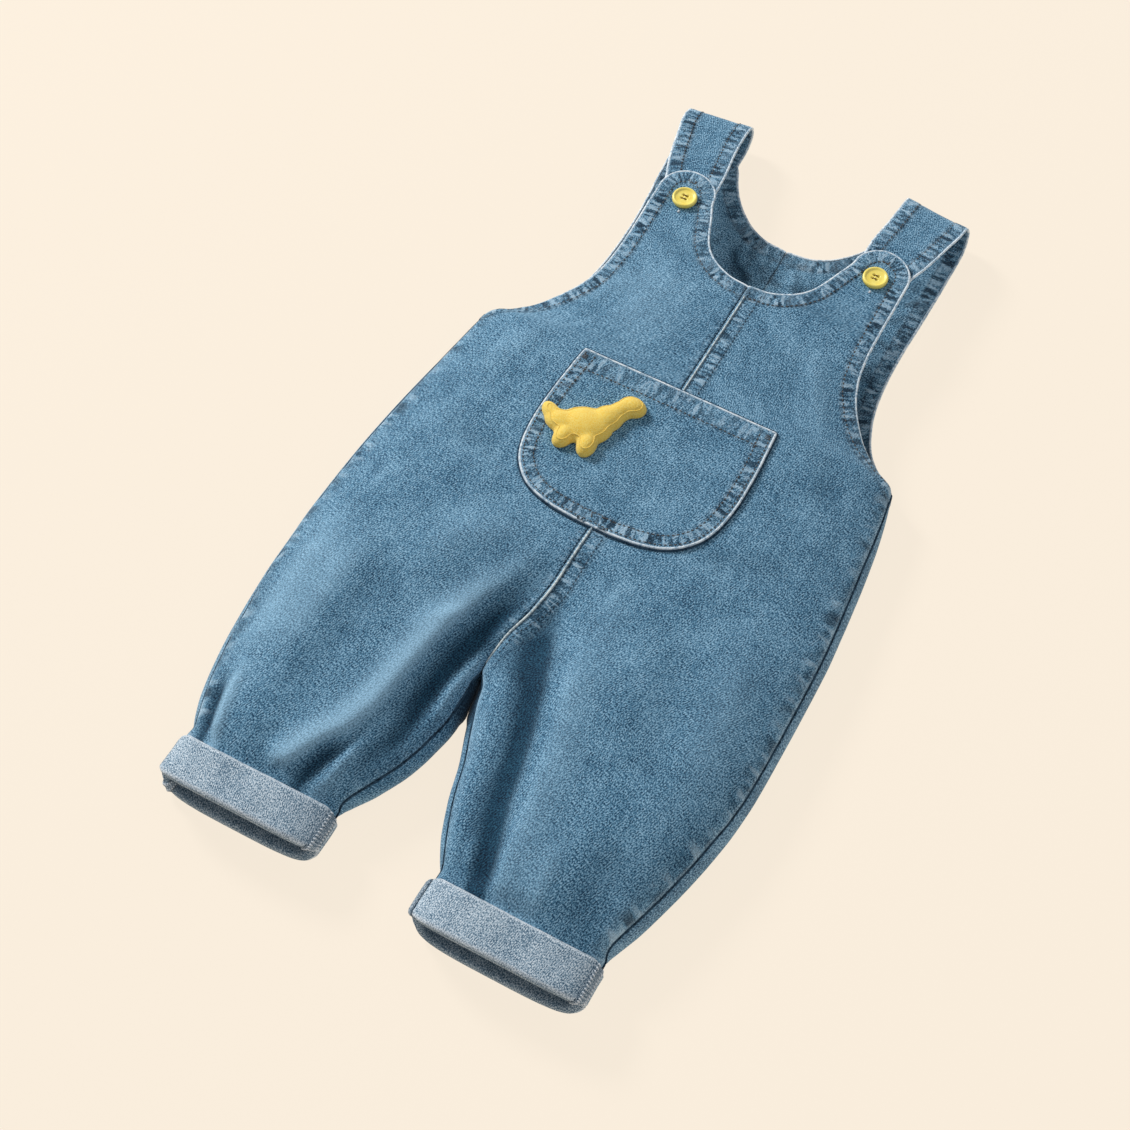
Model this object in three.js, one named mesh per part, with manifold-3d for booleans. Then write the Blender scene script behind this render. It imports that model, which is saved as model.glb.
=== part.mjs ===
// Kids denim dungarees, size about 86 cm, lying on their back.
// Millimetres. X runs from the wearer's right to the wearer's left, Y runs up to the shoulders,
// and Z is the height above the surface that the garment lies on.
import * as THREE from "three";
import { mergeVertices } from "three/addons/utils/BufferGeometryUtils.js";
import Module from "manifold-3d";

const wasm = await Module();
wasm.setup();

// Cloth and seams
const WALL = 1.6;
const SEAM_GAP = 0.3;
const HALF_GAP = SEAM_GAP / 2;
const ORIGIN = { x: -0.55, y: 2.13 };
const NORMAL_STEP = 0.002;

// Turned-up cuffs
const CUFF_WALL = 2.4;
const CUFF_INNER_WALL = 1.8;
const CUFF_GAP = 0.5;
const CUFF_FOLD_RADIUS = 1.4;
const CUFF_HEIGHT = 26;
const HEM_CLEARANCE = 0.6;
const LEG_LIFT = CUFF_GAP + CUFF_WALL;

// Bib tabs, straps and buttons
const TAB = { x: 68.5, y: 217, radius: 18.5, height: 34.5 };
const STRAP_FOLD = { y: 281, radius: 13, xInner: 59, xOuter: 103, lean: 2, tilt: 7, raise: 5 };
const STRAP_SWAY = { from: 200, to: 285, shift: 3 };
const BUTTON = { x: 67.3, y: 211.5, radius: 8.1, height: 3.2, rim: 1.6, dish: 0.9, hole: 0.9, pitch: 2.6 };

// Where the long panels are parted, as a place along their rows with half of the gap there.
const LEG_PARTING = { at: 11.5, half: 0.008 };
const STRAP_PARTING = { at: 31, half: 0.02 };
const PARTING_CLEARANCE = 0.1;

// Sections of the legs and the body, from the hem up to the bottom of the armhole.
// yIn and yOut are where a section meets the inner and the outer seam. drop moves it down on the
// wearer's left leg. in and out are the distances from the middle to the left and right edges.
// bulge is how much of SEAM_BULGE the back panel reaches out beyond the seams, and bow how far
// the ends of a section draw up.
const SECTION_COLUMNS = [
  "yIn", "yOut", "drop", "inLeft", "inRight", "outLeft", "outRight", "crown", "crownAt",
  "zIn", "zInBack", "zOut", "roundIn", "floor", "bulge", "bow", "cuts",
];
const SECTIONS = [
  [-287, -287, 6.5, 29.5, 38.5, 132.5, 138, 30.0, 0.50, 15.5, 15.5, 15.5, 1.0, LEG_LIFT, 0.0, 4.0, 1],
  [-263, -263, 6.5, 29.5, 38.5, 132.5, 138, 30.0, 0.50, 15.5, 15.5, 15.5, 1.0, LEG_LIFT, 0.0, 4.0, 1],
  [-257, -256, 6.4, 28, 37.5, 133.2, 139, 32.5, 0.50, 16.5, 16.5, 16.5, 1.0, 1.8, 0.4, 3.2, 1],
  [-250, -249, 6.0, 24, 34, 135.5, 142, 35.5, 0.50, 18.0, 18.0, 18.0, 1.0, 0.6, 0.8, 2.5, 2],
  [-234, -232, 4.5, 16.5, 25.5, 141.5, 147.5, 38.5, 0.50, 20.0, 20.0, 19.0, 1.0, 0.0, 1.0, 0.0, 2],
  [-216, -214, 3.0, 9.5, 17.0, 147.0, 151.8, 39.5, 0.50, 21.0, 21.0, 19.0, 1.0, 0.0, 1.0, 0.0, 1],
  [-198, -196, 1.5, 4.3, 12.0, 151.7, 154.9, 40.0, 0.50, 21.0, 21.0, 19.0, 1.0, 0.0, 1.0, 0.0, 1],
  [-178, -177, 0.5, -3.5, 9.0, 155.6, 157.2, 40.0, 0.50, 20.0, 20.0, 19.0, 1.0, 0.0, 1.0, 0.0, 1],
  [-158, -158, 0.0, -9.9, 10.2, 158.3, 159.0, 40.0, 0.50, 18.5, 18.5, 18.5, 1.0, 0.0, 0.9, 0.0, 1],
  [-137, -138, 0.0, -13.35, 13.65, 159.5, 160.0, 39.5, 0.50, 16.0, 14.5, 18.5, 1.0, 0.0, 0.8, 0.0, 2],
  [-118, -118, 0.0, -11.0, 11.3, 159.7, 160.4, 39.0, 0.47, 22.0, 7.0, 18.0, 0.6, 0.0, 0.8, 0.0, 1],
  [-98, -98, 0.0, -5.35, 5.65, 159.6, 160.8, 38.0, 0.44, 28.0, 1.5, 18.0, 0.25, 0.0, 0.8, 0.0, 1],
  [-75, -75, 0.0, -1.85, 2.15, 159.3, 160.2, 37.0, 0.38, 33.0, 0.0, 18.0, 0.0, 0.0, 0.8, 0.0, 1],
  [-48, -46, 0.0, -1.15, 1.45, 158.5, 158.8, 36.0, 0.28, 35.5, 0.0, 18.0, 0.0, 0.0, 0.8, 0.0, 1],
  [-18, -14, 0.0, -0.35, 0.65, 156.0, 156.0, 35.6, 0.16, 35.5, 0.0, 18.0, 0.0, 0.0, 0.8, 0.0, 1],
  [12, 18, 0.0, HALF_GAP, HALF_GAP, 152.7, 152.3, 35.5, 0.12, 35.5, 0.0, 17.5, 0.0, 0.0, 0.8, 0.0, 1],
  [40, 48, 0.0, HALF_GAP, HALF_GAP, 148.7, 147.5, 35.5, 0.10, 35.5, 0.0, 17.0, 0.0, 0.0, 0.6, 0.0, 1],
  [60, 71, 0.0, HALF_GAP, HALF_GAP, 144.0, 143.0, 35.3, 0.10, 35.3, 0.0, 16.5, 0.0, 0.0, 0.3, 0.0, 1],
  [74, 83, 0.0, HALF_GAP, HALF_GAP, 140.3, 140.0, 35.0, 0.10, 35.0, 0.0, 16.0, 0.0, 0.0, 0.1, 0.0, 1],
];
const SEAM_BULGE = { inner: 4.5, outer: 5 };
const SEAM_CREASE = 0.3;
const CROWN_ROUNDNESS = 3;
const BIB_FALL = 2.4;
const BACK_REACH = { rounded: 14, flat: 26 };

// The bib above the armhole: its inner edge is the centre seam, then the neckline.
const BIB_COLUMNS = ["xIn", "yIn", "xOut", "yOut", "crown", "zOut", "roundOut"];
const BIB = [
  [HALF_GAP, 84, 128.5, 89.5, 35.0, 18.5, 0.70],
  [HALF_GAP, 94, 117.5, 97.0, 34.8, 21.0, 0.40],
  [HALF_GAP, 106, 108.0, 106.5, 34.6, 23.5, 0.20],
  [HALF_GAP, 119, 99.5, 118.0, 34.5, 25.5, 0.10],
  [HALF_GAP, 133, 93.2, 130.0, 34.5, 27.0, 0.00],
  [HALF_GAP, 146, 89.5, 142.0, 34.5, 28.2, 0.00],
  [HALF_GAP, 158, 87.7, 154.0, 34.4, 29.4, 0.00],
  [HALF_GAP, 168, 87.0, 165.0, 34.3, 30.4, 0.00],
  [12.5, 169.8, 86.8, 174.0, 34.3, 31.2, 0.00],
  [23.5, 174.0, 86.8, 182.0, 34.3, 32.0, 0.00],
  [31.5, 179.5, 86.9, 189.0, 34.4, 32.7, 0.00],
  [37.2, 186.5, 87.0, 196.0, 34.4, 33.4, 0.00],
  [41.3, 195.0, 87.0, 203.0, 34.5, 34.0, 0.00],
  [45.3, 205.5, 87.0, 210.0, 34.5, 34.5, 0.00],
];
const TAB_ANGLES = [0, 22, 42, 59, 73, 83];

// The back above the armhole: its inner edge is the centre seam, then the neck and the strap.
const BACK_COLUMNS = ["xIn", "yIn", "xOut", "yOut", "zOut"];
const BACK = [
  [HALF_GAP, 86, 131.5, 91.5, 11.5],
  [HALF_GAP, 99, 122.5, 100.5, 8.5],
  [HALF_GAP, 113, 115.0, 111.0, 5.5],
  [HALF_GAP, 128, 109.0, 124.5, 3.0],
  [HALF_GAP, 145, 104.0, 140.0, 1.2],
  [HALF_GAP, 163, 101.0, 158.0, 0.4],
  [HALF_GAP, 182, 99.6, 177.0, 0.0],
  [HALF_GAP, 201, 99.4, 196.0, 0.0],
  [HALF_GAP, 217, 100.0, 212.0, 0.0],
  [HALF_GAP, 229.5, 100.7, 226.0, 0.0],
  [14.5, 231.5, 101.3, 236.0, 0.0],
  [26.5, 236.5, 101.8, 244.0, 0.0],
  [36.0, 244, 102.2, 251.0, 0.0],
  [44.5, 253.5, 102.5, 258.5, 0.0],
  [51.0, 264, 102.8, 266.5, 0.0],
  [56.0, 275, 103.0, 273.5, 0.0],
];
const FOLD_ANGLES = [0, 30, 60, 90, 120, 150, 180];
const STRAP_COLUMNS = ["xIn", "yIn", "xOut", "yOut", "z", "raised"];
const STRAP_FRONT = [
  [56.8, 268, 97.5, 262, 28.0, 0.8],
  [54.8, 253, 94.5, 249, 30.0, 0.5],
  [53.2, 240, 91.5, 238, 31.6, 0.2],
  [52.8, 226, 87.0, 225, 32.4, 0.0],
  [53.0, 213, 84.5, 213, 32.3, 0.0],
  [54.0, 202, 83.5, 202, 31.7, 0.0],
];

// Largest folds of the front, as soft ridges (lift above 0) and troughs (lift below 0).
const FOLD_COLUMNS = ["x0", "y0", "x1", "y1", "width", "lift"];
const FOLDS = [
  [-71, -96, -80, -205, 15, 2.6],
  [-108, -70, -112, -190, 17, -2.2],
  [-147, -80, -137, -190, 9, 1.6],
  [-134, -226, -116, -262, 8, -4.0],
  [-62, -268, -44, -205, 8, 3.2],
  [-78, -262, -58, -222, 8, -3.4],
  [-28, -150, -36, -196, 11, -3.0],
  [8, -112, 47, -262, 9, -5.0],
  [28, -128, 70, -236, 14, 2.4],
  [62, -28, 122, -4, 16, -1.6],
  [60, -262, 62, -226, 10, 1.8],
  [112, -268, 122, -214, 10, -2.2],
];

function named(columns, cells) {
  return Object.fromEntries(columns.map((column, i) => [column, cells[i]]));
}

function smoothstep(from, to, value) {
  const share = Math.min(1, Math.max(0, (value - from) / (to - from)));
  return share * share * (3 - 2 * share);
}

// A smooth row between two rows of a table, never beyond either of them.
function rowAt(rows, at) {
  const i = Math.min(rows.length - 2, Math.max(0, Math.floor(at)));
  const share = at - i;
  const out = {};
  for (const column of Object.keys(rows[i])) {
    const value = (k) => rows[Math.min(rows.length - 1, Math.max(0, k))][column];
    const slope = (k) => {
      const before = value(k) - value(k - 1);
      const after = value(k + 1) - value(k);
      return before * after <= 0 ? 0 : (2 * before * after) / (before + after);
    };
    const p = value(i);
    const q = value(i + 1);
    const square = share * share;
    const cube = square * share;
    out[column] =
      p * (2 * cube - 3 * square + 1) +
      slope(i) * (cube - 2 * square + share) +
      q * (3 * square - 2 * cube) +
      slope(i + 1) * (cube - square);
  }
  return out;
}

// The sections of one half, with left as 1 for the wearer's left and -1 for the right.
function sectionsOf(left) {
  return SECTIONS.map((cells) => {
    const row = named(SECTION_COLUMNS, cells);
    const down = left > 0 ? row.drop : 0;
    return {
      xIn: left > 0 ? row.inLeft : row.inRight,
      yIn: row.yIn - down,
      xOut: left > 0 ? row.outLeft : row.outRight,
      yOut: row.yOut - down,
      crown: row.crown,
      crownAt: row.crownAt,
      zIn: row.zIn,
      zInBack: row.zInBack,
      zOut: row.zOut,
      roundIn: row.roundIn,
      roundOut: 1,
      zBase: row.floor,
      bulge: row.bulge,
      bow: row.bow,
      reachIn: BACK_REACH.flat + (BACK_REACH.rounded - BACK_REACH.flat) * row.roundIn,
      reachOut: BACK_REACH.rounded,
      cuts: row.cuts,
    };
  });
}

function bibRows() {
  const rows = BIB.map((cells) => {
    const row = named(BIB_COLUMNS, cells);
    return { ...row, crownAt: 0.1, zIn: row.crown, roundIn: 0, bulge: 0, bow: 0, cuts: 1 };
  });
  const last = rows[rows.length - 1];
  for (const degrees of TAB_ANGLES) {
    const angle = THREE.MathUtils.degToRad(degrees);
    const across = TAB.radius * Math.cos(angle);
    const up = TAB.y + TAB.radius * Math.sin(angle);
    rows.push({ ...last, xIn: TAB.x - across, yIn: up, xOut: TAB.x + across, yOut: up });
  }
  return rows;
}

function backRows(left) {
  const raise = left > 0 ? 0 : STRAP_FOLD.raise;
  const reaches = { reachIn: BACK_REACH.flat, reachOut: BACK_REACH.rounded };
  const plain = { ...reaches, zInBack: 0, zBase: 0, roundIn: 0, bulge: 0, bow: 0, cuts: 1 };
  const rows = BACK.map((cells) => ({ ...plain, ...named(BACK_COLUMNS, cells) }));
  for (const degrees of FOLD_ANGLES) {
    const angle = THREE.MathUtils.degToRad(degrees);
    const y = STRAP_FOLD.y + STRAP_FOLD.radius * Math.sin(angle);
    const z = STRAP_FOLD.radius * (1 - Math.cos(angle));
    const turned = degrees / 180;
    const lift = raise * smoothstep(0, 0.5, turned + 0.1);
    const tilt = (STRAP_FOLD.tilt * turned) / 2;
    const xIn = STRAP_FOLD.xInner - STRAP_FOLD.lean * 0.5 * turned;
    const xOut = STRAP_FOLD.xOuter - STRAP_FOLD.lean * turned;
    const yIn = y + lift + tilt;
    const yOut = y + lift - tilt;
    rows.push({ ...plain, xIn, yIn, xOut, yOut, zInBack: z, zOut: z, zBase: z });
  }
  for (const cells of STRAP_FRONT) {
    const row = named(STRAP_COLUMNS, cells);
    const yIn = row.yIn + raise * row.raised;
    const yOut = row.yOut + raise * row.raised;
    const { xIn, xOut, z } = row;
    rows.push({ ...plain, xIn, yIn, xOut, yOut, zInBack: z, zOut: z, zBase: z });
  }
  return rows;
}

function foldLift(x, y) {
  let lift = 0;
  for (const cells of FOLDS) {
    const fold = named(FOLD_COLUMNS, cells);
    const alongX = fold.x1 - fold.x0;
    const alongY = fold.y1 - fold.y0;
    const length = Math.hypot(alongX, alongY);
    const along = ((x - fold.x0) * alongX + (y - fold.y0) * alongY) / length;
    const aside = ((x - fold.x0) * alongY - (y - fold.y0) * alongX) / length;
    const beyond = Math.max(0, -along, along - length) / fold.width;
    const off = aside / fold.width;
    lift += fold.lift * Math.exp(-off * off - beyond * beyond * 0.6);
  }
  return lift;
}

// The straps and the bib sway a little towards the wearer's right.
function swayAt(y) {
  return STRAP_SWAY.shift * smoothstep(STRAP_SWAY.from, STRAP_SWAY.to, y);
}

function placed(row, across, height, left) {
  const fromMiddle = 2 * across - 1;
  const y = row.yIn + (row.yOut - row.yIn) * across + row.bow * fromMiddle ** 4;
  const x = left * (row.xIn + (row.xOut - row.xIn) * across);
  return new THREE.Vector3(x - swayAt(y), y, height);
}

// The front's outer face at a share across (0 at the inner edge) of one row.
function frontFace(row, share, left) {
  const width = Math.max(1, row.xOut - row.xIn);
  const fromIn = (SEAM_BULGE.inner * row.bulge * row.roundIn) / width;
  const fromOut = (SEAM_BULGE.outer * row.bulge) / width;
  const across = fromIn + (1 - fromIn - fromOut) * share;
  const inner = share < row.crownAt;
  const run = inner ? row.crownAt : 1 - row.crownAt;
  const q = Math.abs(share - row.crownAt) / run;
  const edge = inner ? row.zIn : row.zOut;
  const joined = inner ? row.roundIn : row.roundOut;
  const roundness = joined * (1 - SEAM_CREASE * row.bulge);
  const rounded = Math.sqrt(Math.max(0, 1 - q ** CROWN_ROUNDNESS));
  const soft = inner ? 1 - smoothstep(0, 1, q) : 1 - q ** BIB_FALL;
  const height = edge + (row.crown - edge) * (soft + (rounded - soft) * roundness);
  return placed(row, across, height + HALF_GAP * joined * q ** 8, left);
}

// The back's outer face: rounded up to the seam at each edge and flat between them.
const ARC_SHARE = 0.28;
function arcAt(turn, reach, bulge, rise) {
  const over = Math.acos(1 - bulge / reach);
  const angle = turn * (Math.PI / 2 + over) - over;
  return {
    from: reach * (1 - Math.cos(angle)),
    up: (rise * (1 - Math.sin(angle))) / (1 + Math.sin(over)),
  };
}

function backFace(row, u, left) {
  const width = Math.max(1, row.xOut - row.xIn);
  const reachIn = Math.min(0.4 * width, row.reachIn);
  const reachOut = Math.min(0.4 * width, row.reachOut);
  const flat = width - reachIn - reachOut;
  let from = reachIn + ((u - ARC_SHARE) / (1 - 2 * ARC_SHARE)) * flat;
  let up = 0;
  if (u < ARC_SHARE) {
    const rise = Math.max(0, row.zInBack - row.zBase - HALF_GAP);
    const arc = arcAt(u / ARC_SHARE, reachIn, SEAM_BULGE.inner * row.bulge * row.roundIn, rise);
    from = arc.from;
    up = arc.up;
  }
  if (u > 1 - ARC_SHARE) {
    const rise = Math.max(0, row.zOut - row.zBase - HALF_GAP);
    const arc = arcAt((1 - u) / ARC_SHARE, reachOut, SEAM_BULGE.outer * row.bulge, rise);
    from = width - arc.from;
    up = arc.up;
  }
  return placed(row, from / width, row.zBase + up, left);
}

// Places along a table of rows, with the rows' own number of cuts between one and the next.
function placesAlong(rows) {
  const places = [];
  for (let i = 0; i < rows.length - 1; i += 1) {
    const cuts = rows[i].cuts ?? 1;
    for (let k = 0; k < cuts; k += 1) {
      places.push(i + k / cuts);
    }
  }
  places.push(rows.length - 1);
  return places;
}

// The places of one stretch of a panel, between two partings.
function placesBetween(rows, from, to) {
  const within = (place) => place > from + PARTING_CLEARANCE && place < to - PARTING_CLEARANCE;
  return [from, ...placesAlong(rows).filter(within), to];
}

// Grid points of a face with its outward normals, face(u, v) being the outer side of the cloth.
function gridOf(face, uList, vList, outward, displace) {
  const vLast = vList[vList.length - 1];
  return vList.map((v) =>
    uList.map((u) => {
      const u0 = Math.max(0, u - NORMAL_STEP);
      const u1 = Math.min(1, u + NORMAL_STEP);
      const v0 = Math.max(0, v - NORMAL_STEP);
      const v1 = Math.min(vLast, v + NORMAL_STEP);
      const alongU = face(u1, v).sub(face(u0, v));
      const alongV = face(u, v1).sub(face(u, v0));
      const normal = alongU.cross(alongV).multiplyScalar(outward).normalize();
      const point = face(u, v);
      const lift = displace ? displace(point, u) : 0;
      return { point: point.addScaledVector(normal, lift), normal };
    }),
  );
}

// A closed wall from a grid: outer side, inner side and the rim between them.
function wallGeometry(grid, thickness, offset = 0) {
  const rows = grid.length;
  const columns = grid[0].length;
  const positions = [];
  for (const depth of [offset + thickness, offset]) {
    for (const row of grid) {
      for (const { point, normal } of row) {
        const moved = point.clone().addScaledVector(normal, depth);
        positions.push(moved.x, moved.y, Math.max(0, moved.z));
      }
    }
  }
  const layer = rows * columns;
  const at = (r, c, side) => side * layer + r * columns + c;
  const faces = [];
  const quad = (a, b, c, d) => faces.push([a, b, c], [a, c, d]);
  for (let r = 0; r < rows - 1; r += 1) {
    for (let c = 0; c < columns - 1; c += 1) {
      quad(at(r, c, 0), at(r, c + 1, 0), at(r + 1, c + 1, 0), at(r + 1, c, 0));
      quad(at(r, c, 1), at(r + 1, c, 1), at(r + 1, c + 1, 1), at(r, c + 1, 1));
    }
    quad(at(r, 0, 0), at(r + 1, 0, 0), at(r + 1, 0, 1), at(r, 0, 1));
    const e = columns - 1;
    quad(at(r, e, 0), at(r, e, 1), at(r + 1, e, 1), at(r + 1, e, 0));
  }
  for (let c = 0; c < columns - 1; c += 1) {
    const e = rows - 1;
    quad(at(0, c, 0), at(0, c, 1), at(0, c + 1, 1), at(0, c + 1, 0));
    quad(at(e, c, 0), at(e, c + 1, 0), at(e, c + 1, 1), at(e, c, 1));
  }
  return closedGeometry(positions, faces);
}

function signedVolume(positions, faces) {
  const corner = (i) => new THREE.Vector3().fromArray(positions, 3 * i);
  return faces.reduce((sum, [a, b, c]) => sum + corner(a).dot(corner(b).cross(corner(c))) / 6, 0);
}

function closedGeometry(positions, faces) {
  const turned = signedVolume(positions, faces) < 0;
  const index = faces.flatMap(([a, b, c]) => (turned ? [a, c, b] : [a, b, c]));
  const geometry = new THREE.BufferGeometry();
  geometry.setAttribute("position", new THREE.Float32BufferAttribute(positions, 3));
  geometry.setIndex(index);
  return geometry;
}

// Shares across a panel, closer together towards its two edges.
function sharesAcross(count, even) {
  return Array.from({ length: count + 1 }, (_, i) => {
    const u = i / count;
    return even * u + (1 - even) * 0.5 * (1 - Math.cos(Math.PI * u));
  });
}

const FRONT_COLUMNS_ACROSS = 14;
const EVEN_SPACING = 0.35;
const BACK_SHARES = [0, 0.07, 0.14, 0.21, 0.28, 0.42, 0.58, 0.72, 0.79, 0.86, 0.93, 1];

function frontRowsOf(left) {
  return [...sectionsOf(left), ...bibRows()];
}

function foldDisplacement(left) {
  const cuffTop = rowAt(sectionsOf(left), 1).yIn;
  return (point, u) => {
    const fromSeams = smoothstep(0, 0.12, u) * smoothstep(0, 0.12, 1 - u);
    return foldLift(point.x, point.y) * fromSeams * smoothstep(cuffTop, cuffTop + 14, point.y);
  };
}

function frontStretch(left, from, to) {
  const rows = frontRowsOf(left);
  const face = (u, v) => frontFace(rowAt(rows, v), u, left);
  const shares = sharesAcross(FRONT_COLUMNS_ACROSS, EVEN_SPACING);
  const places = placesBetween(rows, from, Math.min(to, rows.length - 1));
  const grid = gridOf(face, shares, places, left, foldDisplacement(left));
  return wallGeometry(grid, WALL, -WALL);
}

function backStretch(left, from, to) {
  const rows = [...sectionsOf(left), ...backRows(left)];
  const face = (u, v) => backFace(rowAt(rows, v), u, left);
  const places = placesBetween(rows, from, Math.min(to, rows.length - 1));
  const grid = gridOf(face, BACK_SHARES, places, -left, null);
  return wallGeometry(grid, WALL, -WALL);
}

// Half width of the pocket at a height above its bottom edge.
const POCKET_COLUMNS = ["y", "half"];
const POCKET_OUTLINE = [
  [-36.3, 12],
  [-35.2, 26],
  [-32.5, 38],
  [-28.0, 48],
  [-21.0, 56],
  [-11.0, 62.5],
  [4.0, 66.5],
  [22.0, 68],
  [40.0, 67.7],
  [58.0, 66.5],
  [75.0, 65],
];
const POCKET_COLUMNS_ACROSS = 12;

// The front's outer face straight above a place in the plan, with its normal.
function frontAbove(x, y) {
  const left = x < 0 ? -1 : 1;
  const rows = frontRowsOf(left);
  const distance = Math.abs(x);
  let low = 8;
  let high = 22;
  let row = null;
  let across = 0;
  for (let i = 0; i < 40; i += 1) {
    const middle = (low + high) / 2;
    row = rowAt(rows, middle);
    across = Math.max(0, (distance - row.xIn) / (row.xOut - row.xIn));
    if (row.yIn + (row.yOut - row.yIn) * across < y) {
      low = middle;
    } else {
      high = middle;
    }
  }
  return frontFace(row, across, left).z;
}

function pocketGrid(offset) {
  const rows = POCKET_OUTLINE.map((cells) => named(POCKET_COLUMNS, cells));
  const slope = 1;
  return rows.map(({ y, half }) =>
    sharesAcross(POCKET_COLUMNS_ACROSS, 1).map((u) => {
      const x = half * (2 * u - 1);
      const z = frontAbove(x, y);
      const dx = (frontAbove(x + slope, y) - frontAbove(x - slope, y)) / (2 * slope);
      const dy = (frontAbove(x, y + slope) - frontAbove(x, y - slope)) / (2 * slope);
      const normal = new THREE.Vector3(-dx, -dy, 1).normalize();
      return { point: new THREE.Vector3(x, y, z).addScaledVector(normal, offset), normal };
    }),
  );
}

// The closed outline of a leg at its hem, in X and Z, with outward directions.
function hemLoop(left) {
  const row = rowAt(sectionsOf(left), 0);
  const front = [0, 0.03, 0.09, 0.18, 0.3, 0.42, 0.58, 0.7, 0.82, 0.91, 0.97, 1];
  const back = [0.93, 0.86, 0.79, 0.72, 0.58, 0.42, 0.28, 0.21, 0.14, 0.07];
  const points = [
    ...front.map((u) => frontFace(row, u, 1)),
    ...back.map((u) => backFace(row, u, 1)),
  ].map((p) => new THREE.Vector2(p.x, p.z));
  return points.map((point, i) => {
    const before = points[(i + points.length - 1) % points.length];
    const after = points[(i + 1) % points.length];
    const along = after.clone().sub(before).normalize();
    return { point, out: new THREE.Vector2(-along.y, along.x) };
  });
}

// A turned-up cuff: a U section, open to the top, carried round the hem of the leg.
function cuff(left) {
  const row = rowAt(sectionsOf(left), 0);
  const hem = row.yIn;
  const bottom = hem - HEM_CLEARANCE - CUFF_WALL;
  const top = bottom + CUFF_HEIGHT;
  const r = CUFF_FOLD_RADIUS;
  const outer = LEG_LIFT;
  const inner = -(WALL + CUFF_GAP);
  const profile = [
    [CUFF_GAP, top],
    [outer, top],
    [outer, bottom + r],
    [outer - r * 0.3, bottom + r * 0.3],
    [outer - r, bottom],
    [inner - CUFF_INNER_WALL + r, bottom],
    [inner - CUFF_INNER_WALL + r * 0.3, bottom + r * 0.3],
    [inner - CUFF_INNER_WALL, bottom + r],
    [inner - CUFF_INNER_WALL, top - 3],
    [inner, top - 3],
    [inner, bottom + CUFF_WALL],
    [CUFF_GAP, bottom + CUFF_WALL],
  ];
  const loop = hemLoop(left);
  const middle = (row.xIn + row.xOut) / 2;
  const half = (row.xOut - row.xIn) / 2;
  const positions = [];
  for (const { point, out } of loop) {
    const bow = row.bow * Math.min(1, Math.abs(point.x - middle) / half) ** 4;
    for (const [away, y] of profile) {
      const x = left * (point.x + out.x * away);
      positions.push(x, y + bow, Math.max(0, point.y + out.y * away));
    }
  }
  const around = loop.length;
  const count = profile.length;
  const faces = [];
  for (let i = 0; i < around; i += 1) {
    for (let k = 0; k < count; k += 1) {
      const a = i * count + k;
      const b = i * count + ((k + 1) % count);
      const c = ((i + 1) % around) * count + ((k + 1) % count);
      const d = ((i + 1) % around) * count + k;
      faces.push([a, b, c], [a, c, d]);
    }
  }
  return closedGeometry(positions, faces);
}

function solidOf(geometry) {
  const bare = geometry.clone();
  bare.deleteAttribute("normal");
  bare.deleteAttribute("uv");
  const merged = mergeVertices(bare, 1e-4);
  return new wasm.Manifold(
    new wasm.Mesh({
      numProp: 3,
      vertProperties: new Float32Array(merged.attributes.position.array),
      triVerts: new Uint32Array(merged.index.array),
    }),
  );
}

function geometryOf(solid) {
  const mesh = solid.getMesh();
  const positions = [];
  for (let i = 0; i < mesh.numVert; i += 1) {
    const start = i * mesh.numProp;
    positions.push(...mesh.vertProperties.subarray(start, start + 3));
  }
  const geometry = new THREE.BufferGeometry();
  geometry.setAttribute("position", new THREE.Float32BufferAttribute(positions, 3));
  geometry.setIndex(Array.from(mesh.triVerts));
  return geometry;
}

// A four-hole button with a raised rim.
const BUTTON_SEGMENTS = 32;
const HOLE_SEGMENTS = 8;
function button(left) {
  const { radius, height, rim, dish } = BUTTON;
  const profile = [
    [0, 0],
    [radius - 0.7, 0],
    [radius, 0.7],
    [radius, height - 0.6],
    [radius - 0.6, height],
    [radius - rim, height],
    [radius - rim - 0.8, height - dish],
    [0, height - dish],
  ].map(([x, y]) => new THREE.Vector2(x, y));
  const turned = new THREE.LatheGeometry(profile, BUTTON_SEGMENTS);
  turned.rotateX(Math.PI / 2);
  let solid = solidOf(turned);
  for (const [sx, sy] of [[1, 1], [-1, 1], [-1, -1], [1, -1]]) {
    const drill = new THREE.CylinderGeometry(BUTTON.hole, BUTTON.hole, 3 * height, HOLE_SEGMENTS);
    drill.rotateX(Math.PI / 2);
    drill.translate((sx * BUTTON.pitch) / 2, (sy * BUTTON.pitch) / 2, 0);
    solid = solid.subtract(solidOf(drill));
  }
  const geometry = geometryOf(solid);
  geometry.translate(left * BUTTON.x - swayAt(BUTTON.y), BUTTON.y, TAB.height + SEAM_GAP);
  return geometry;
}

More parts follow.
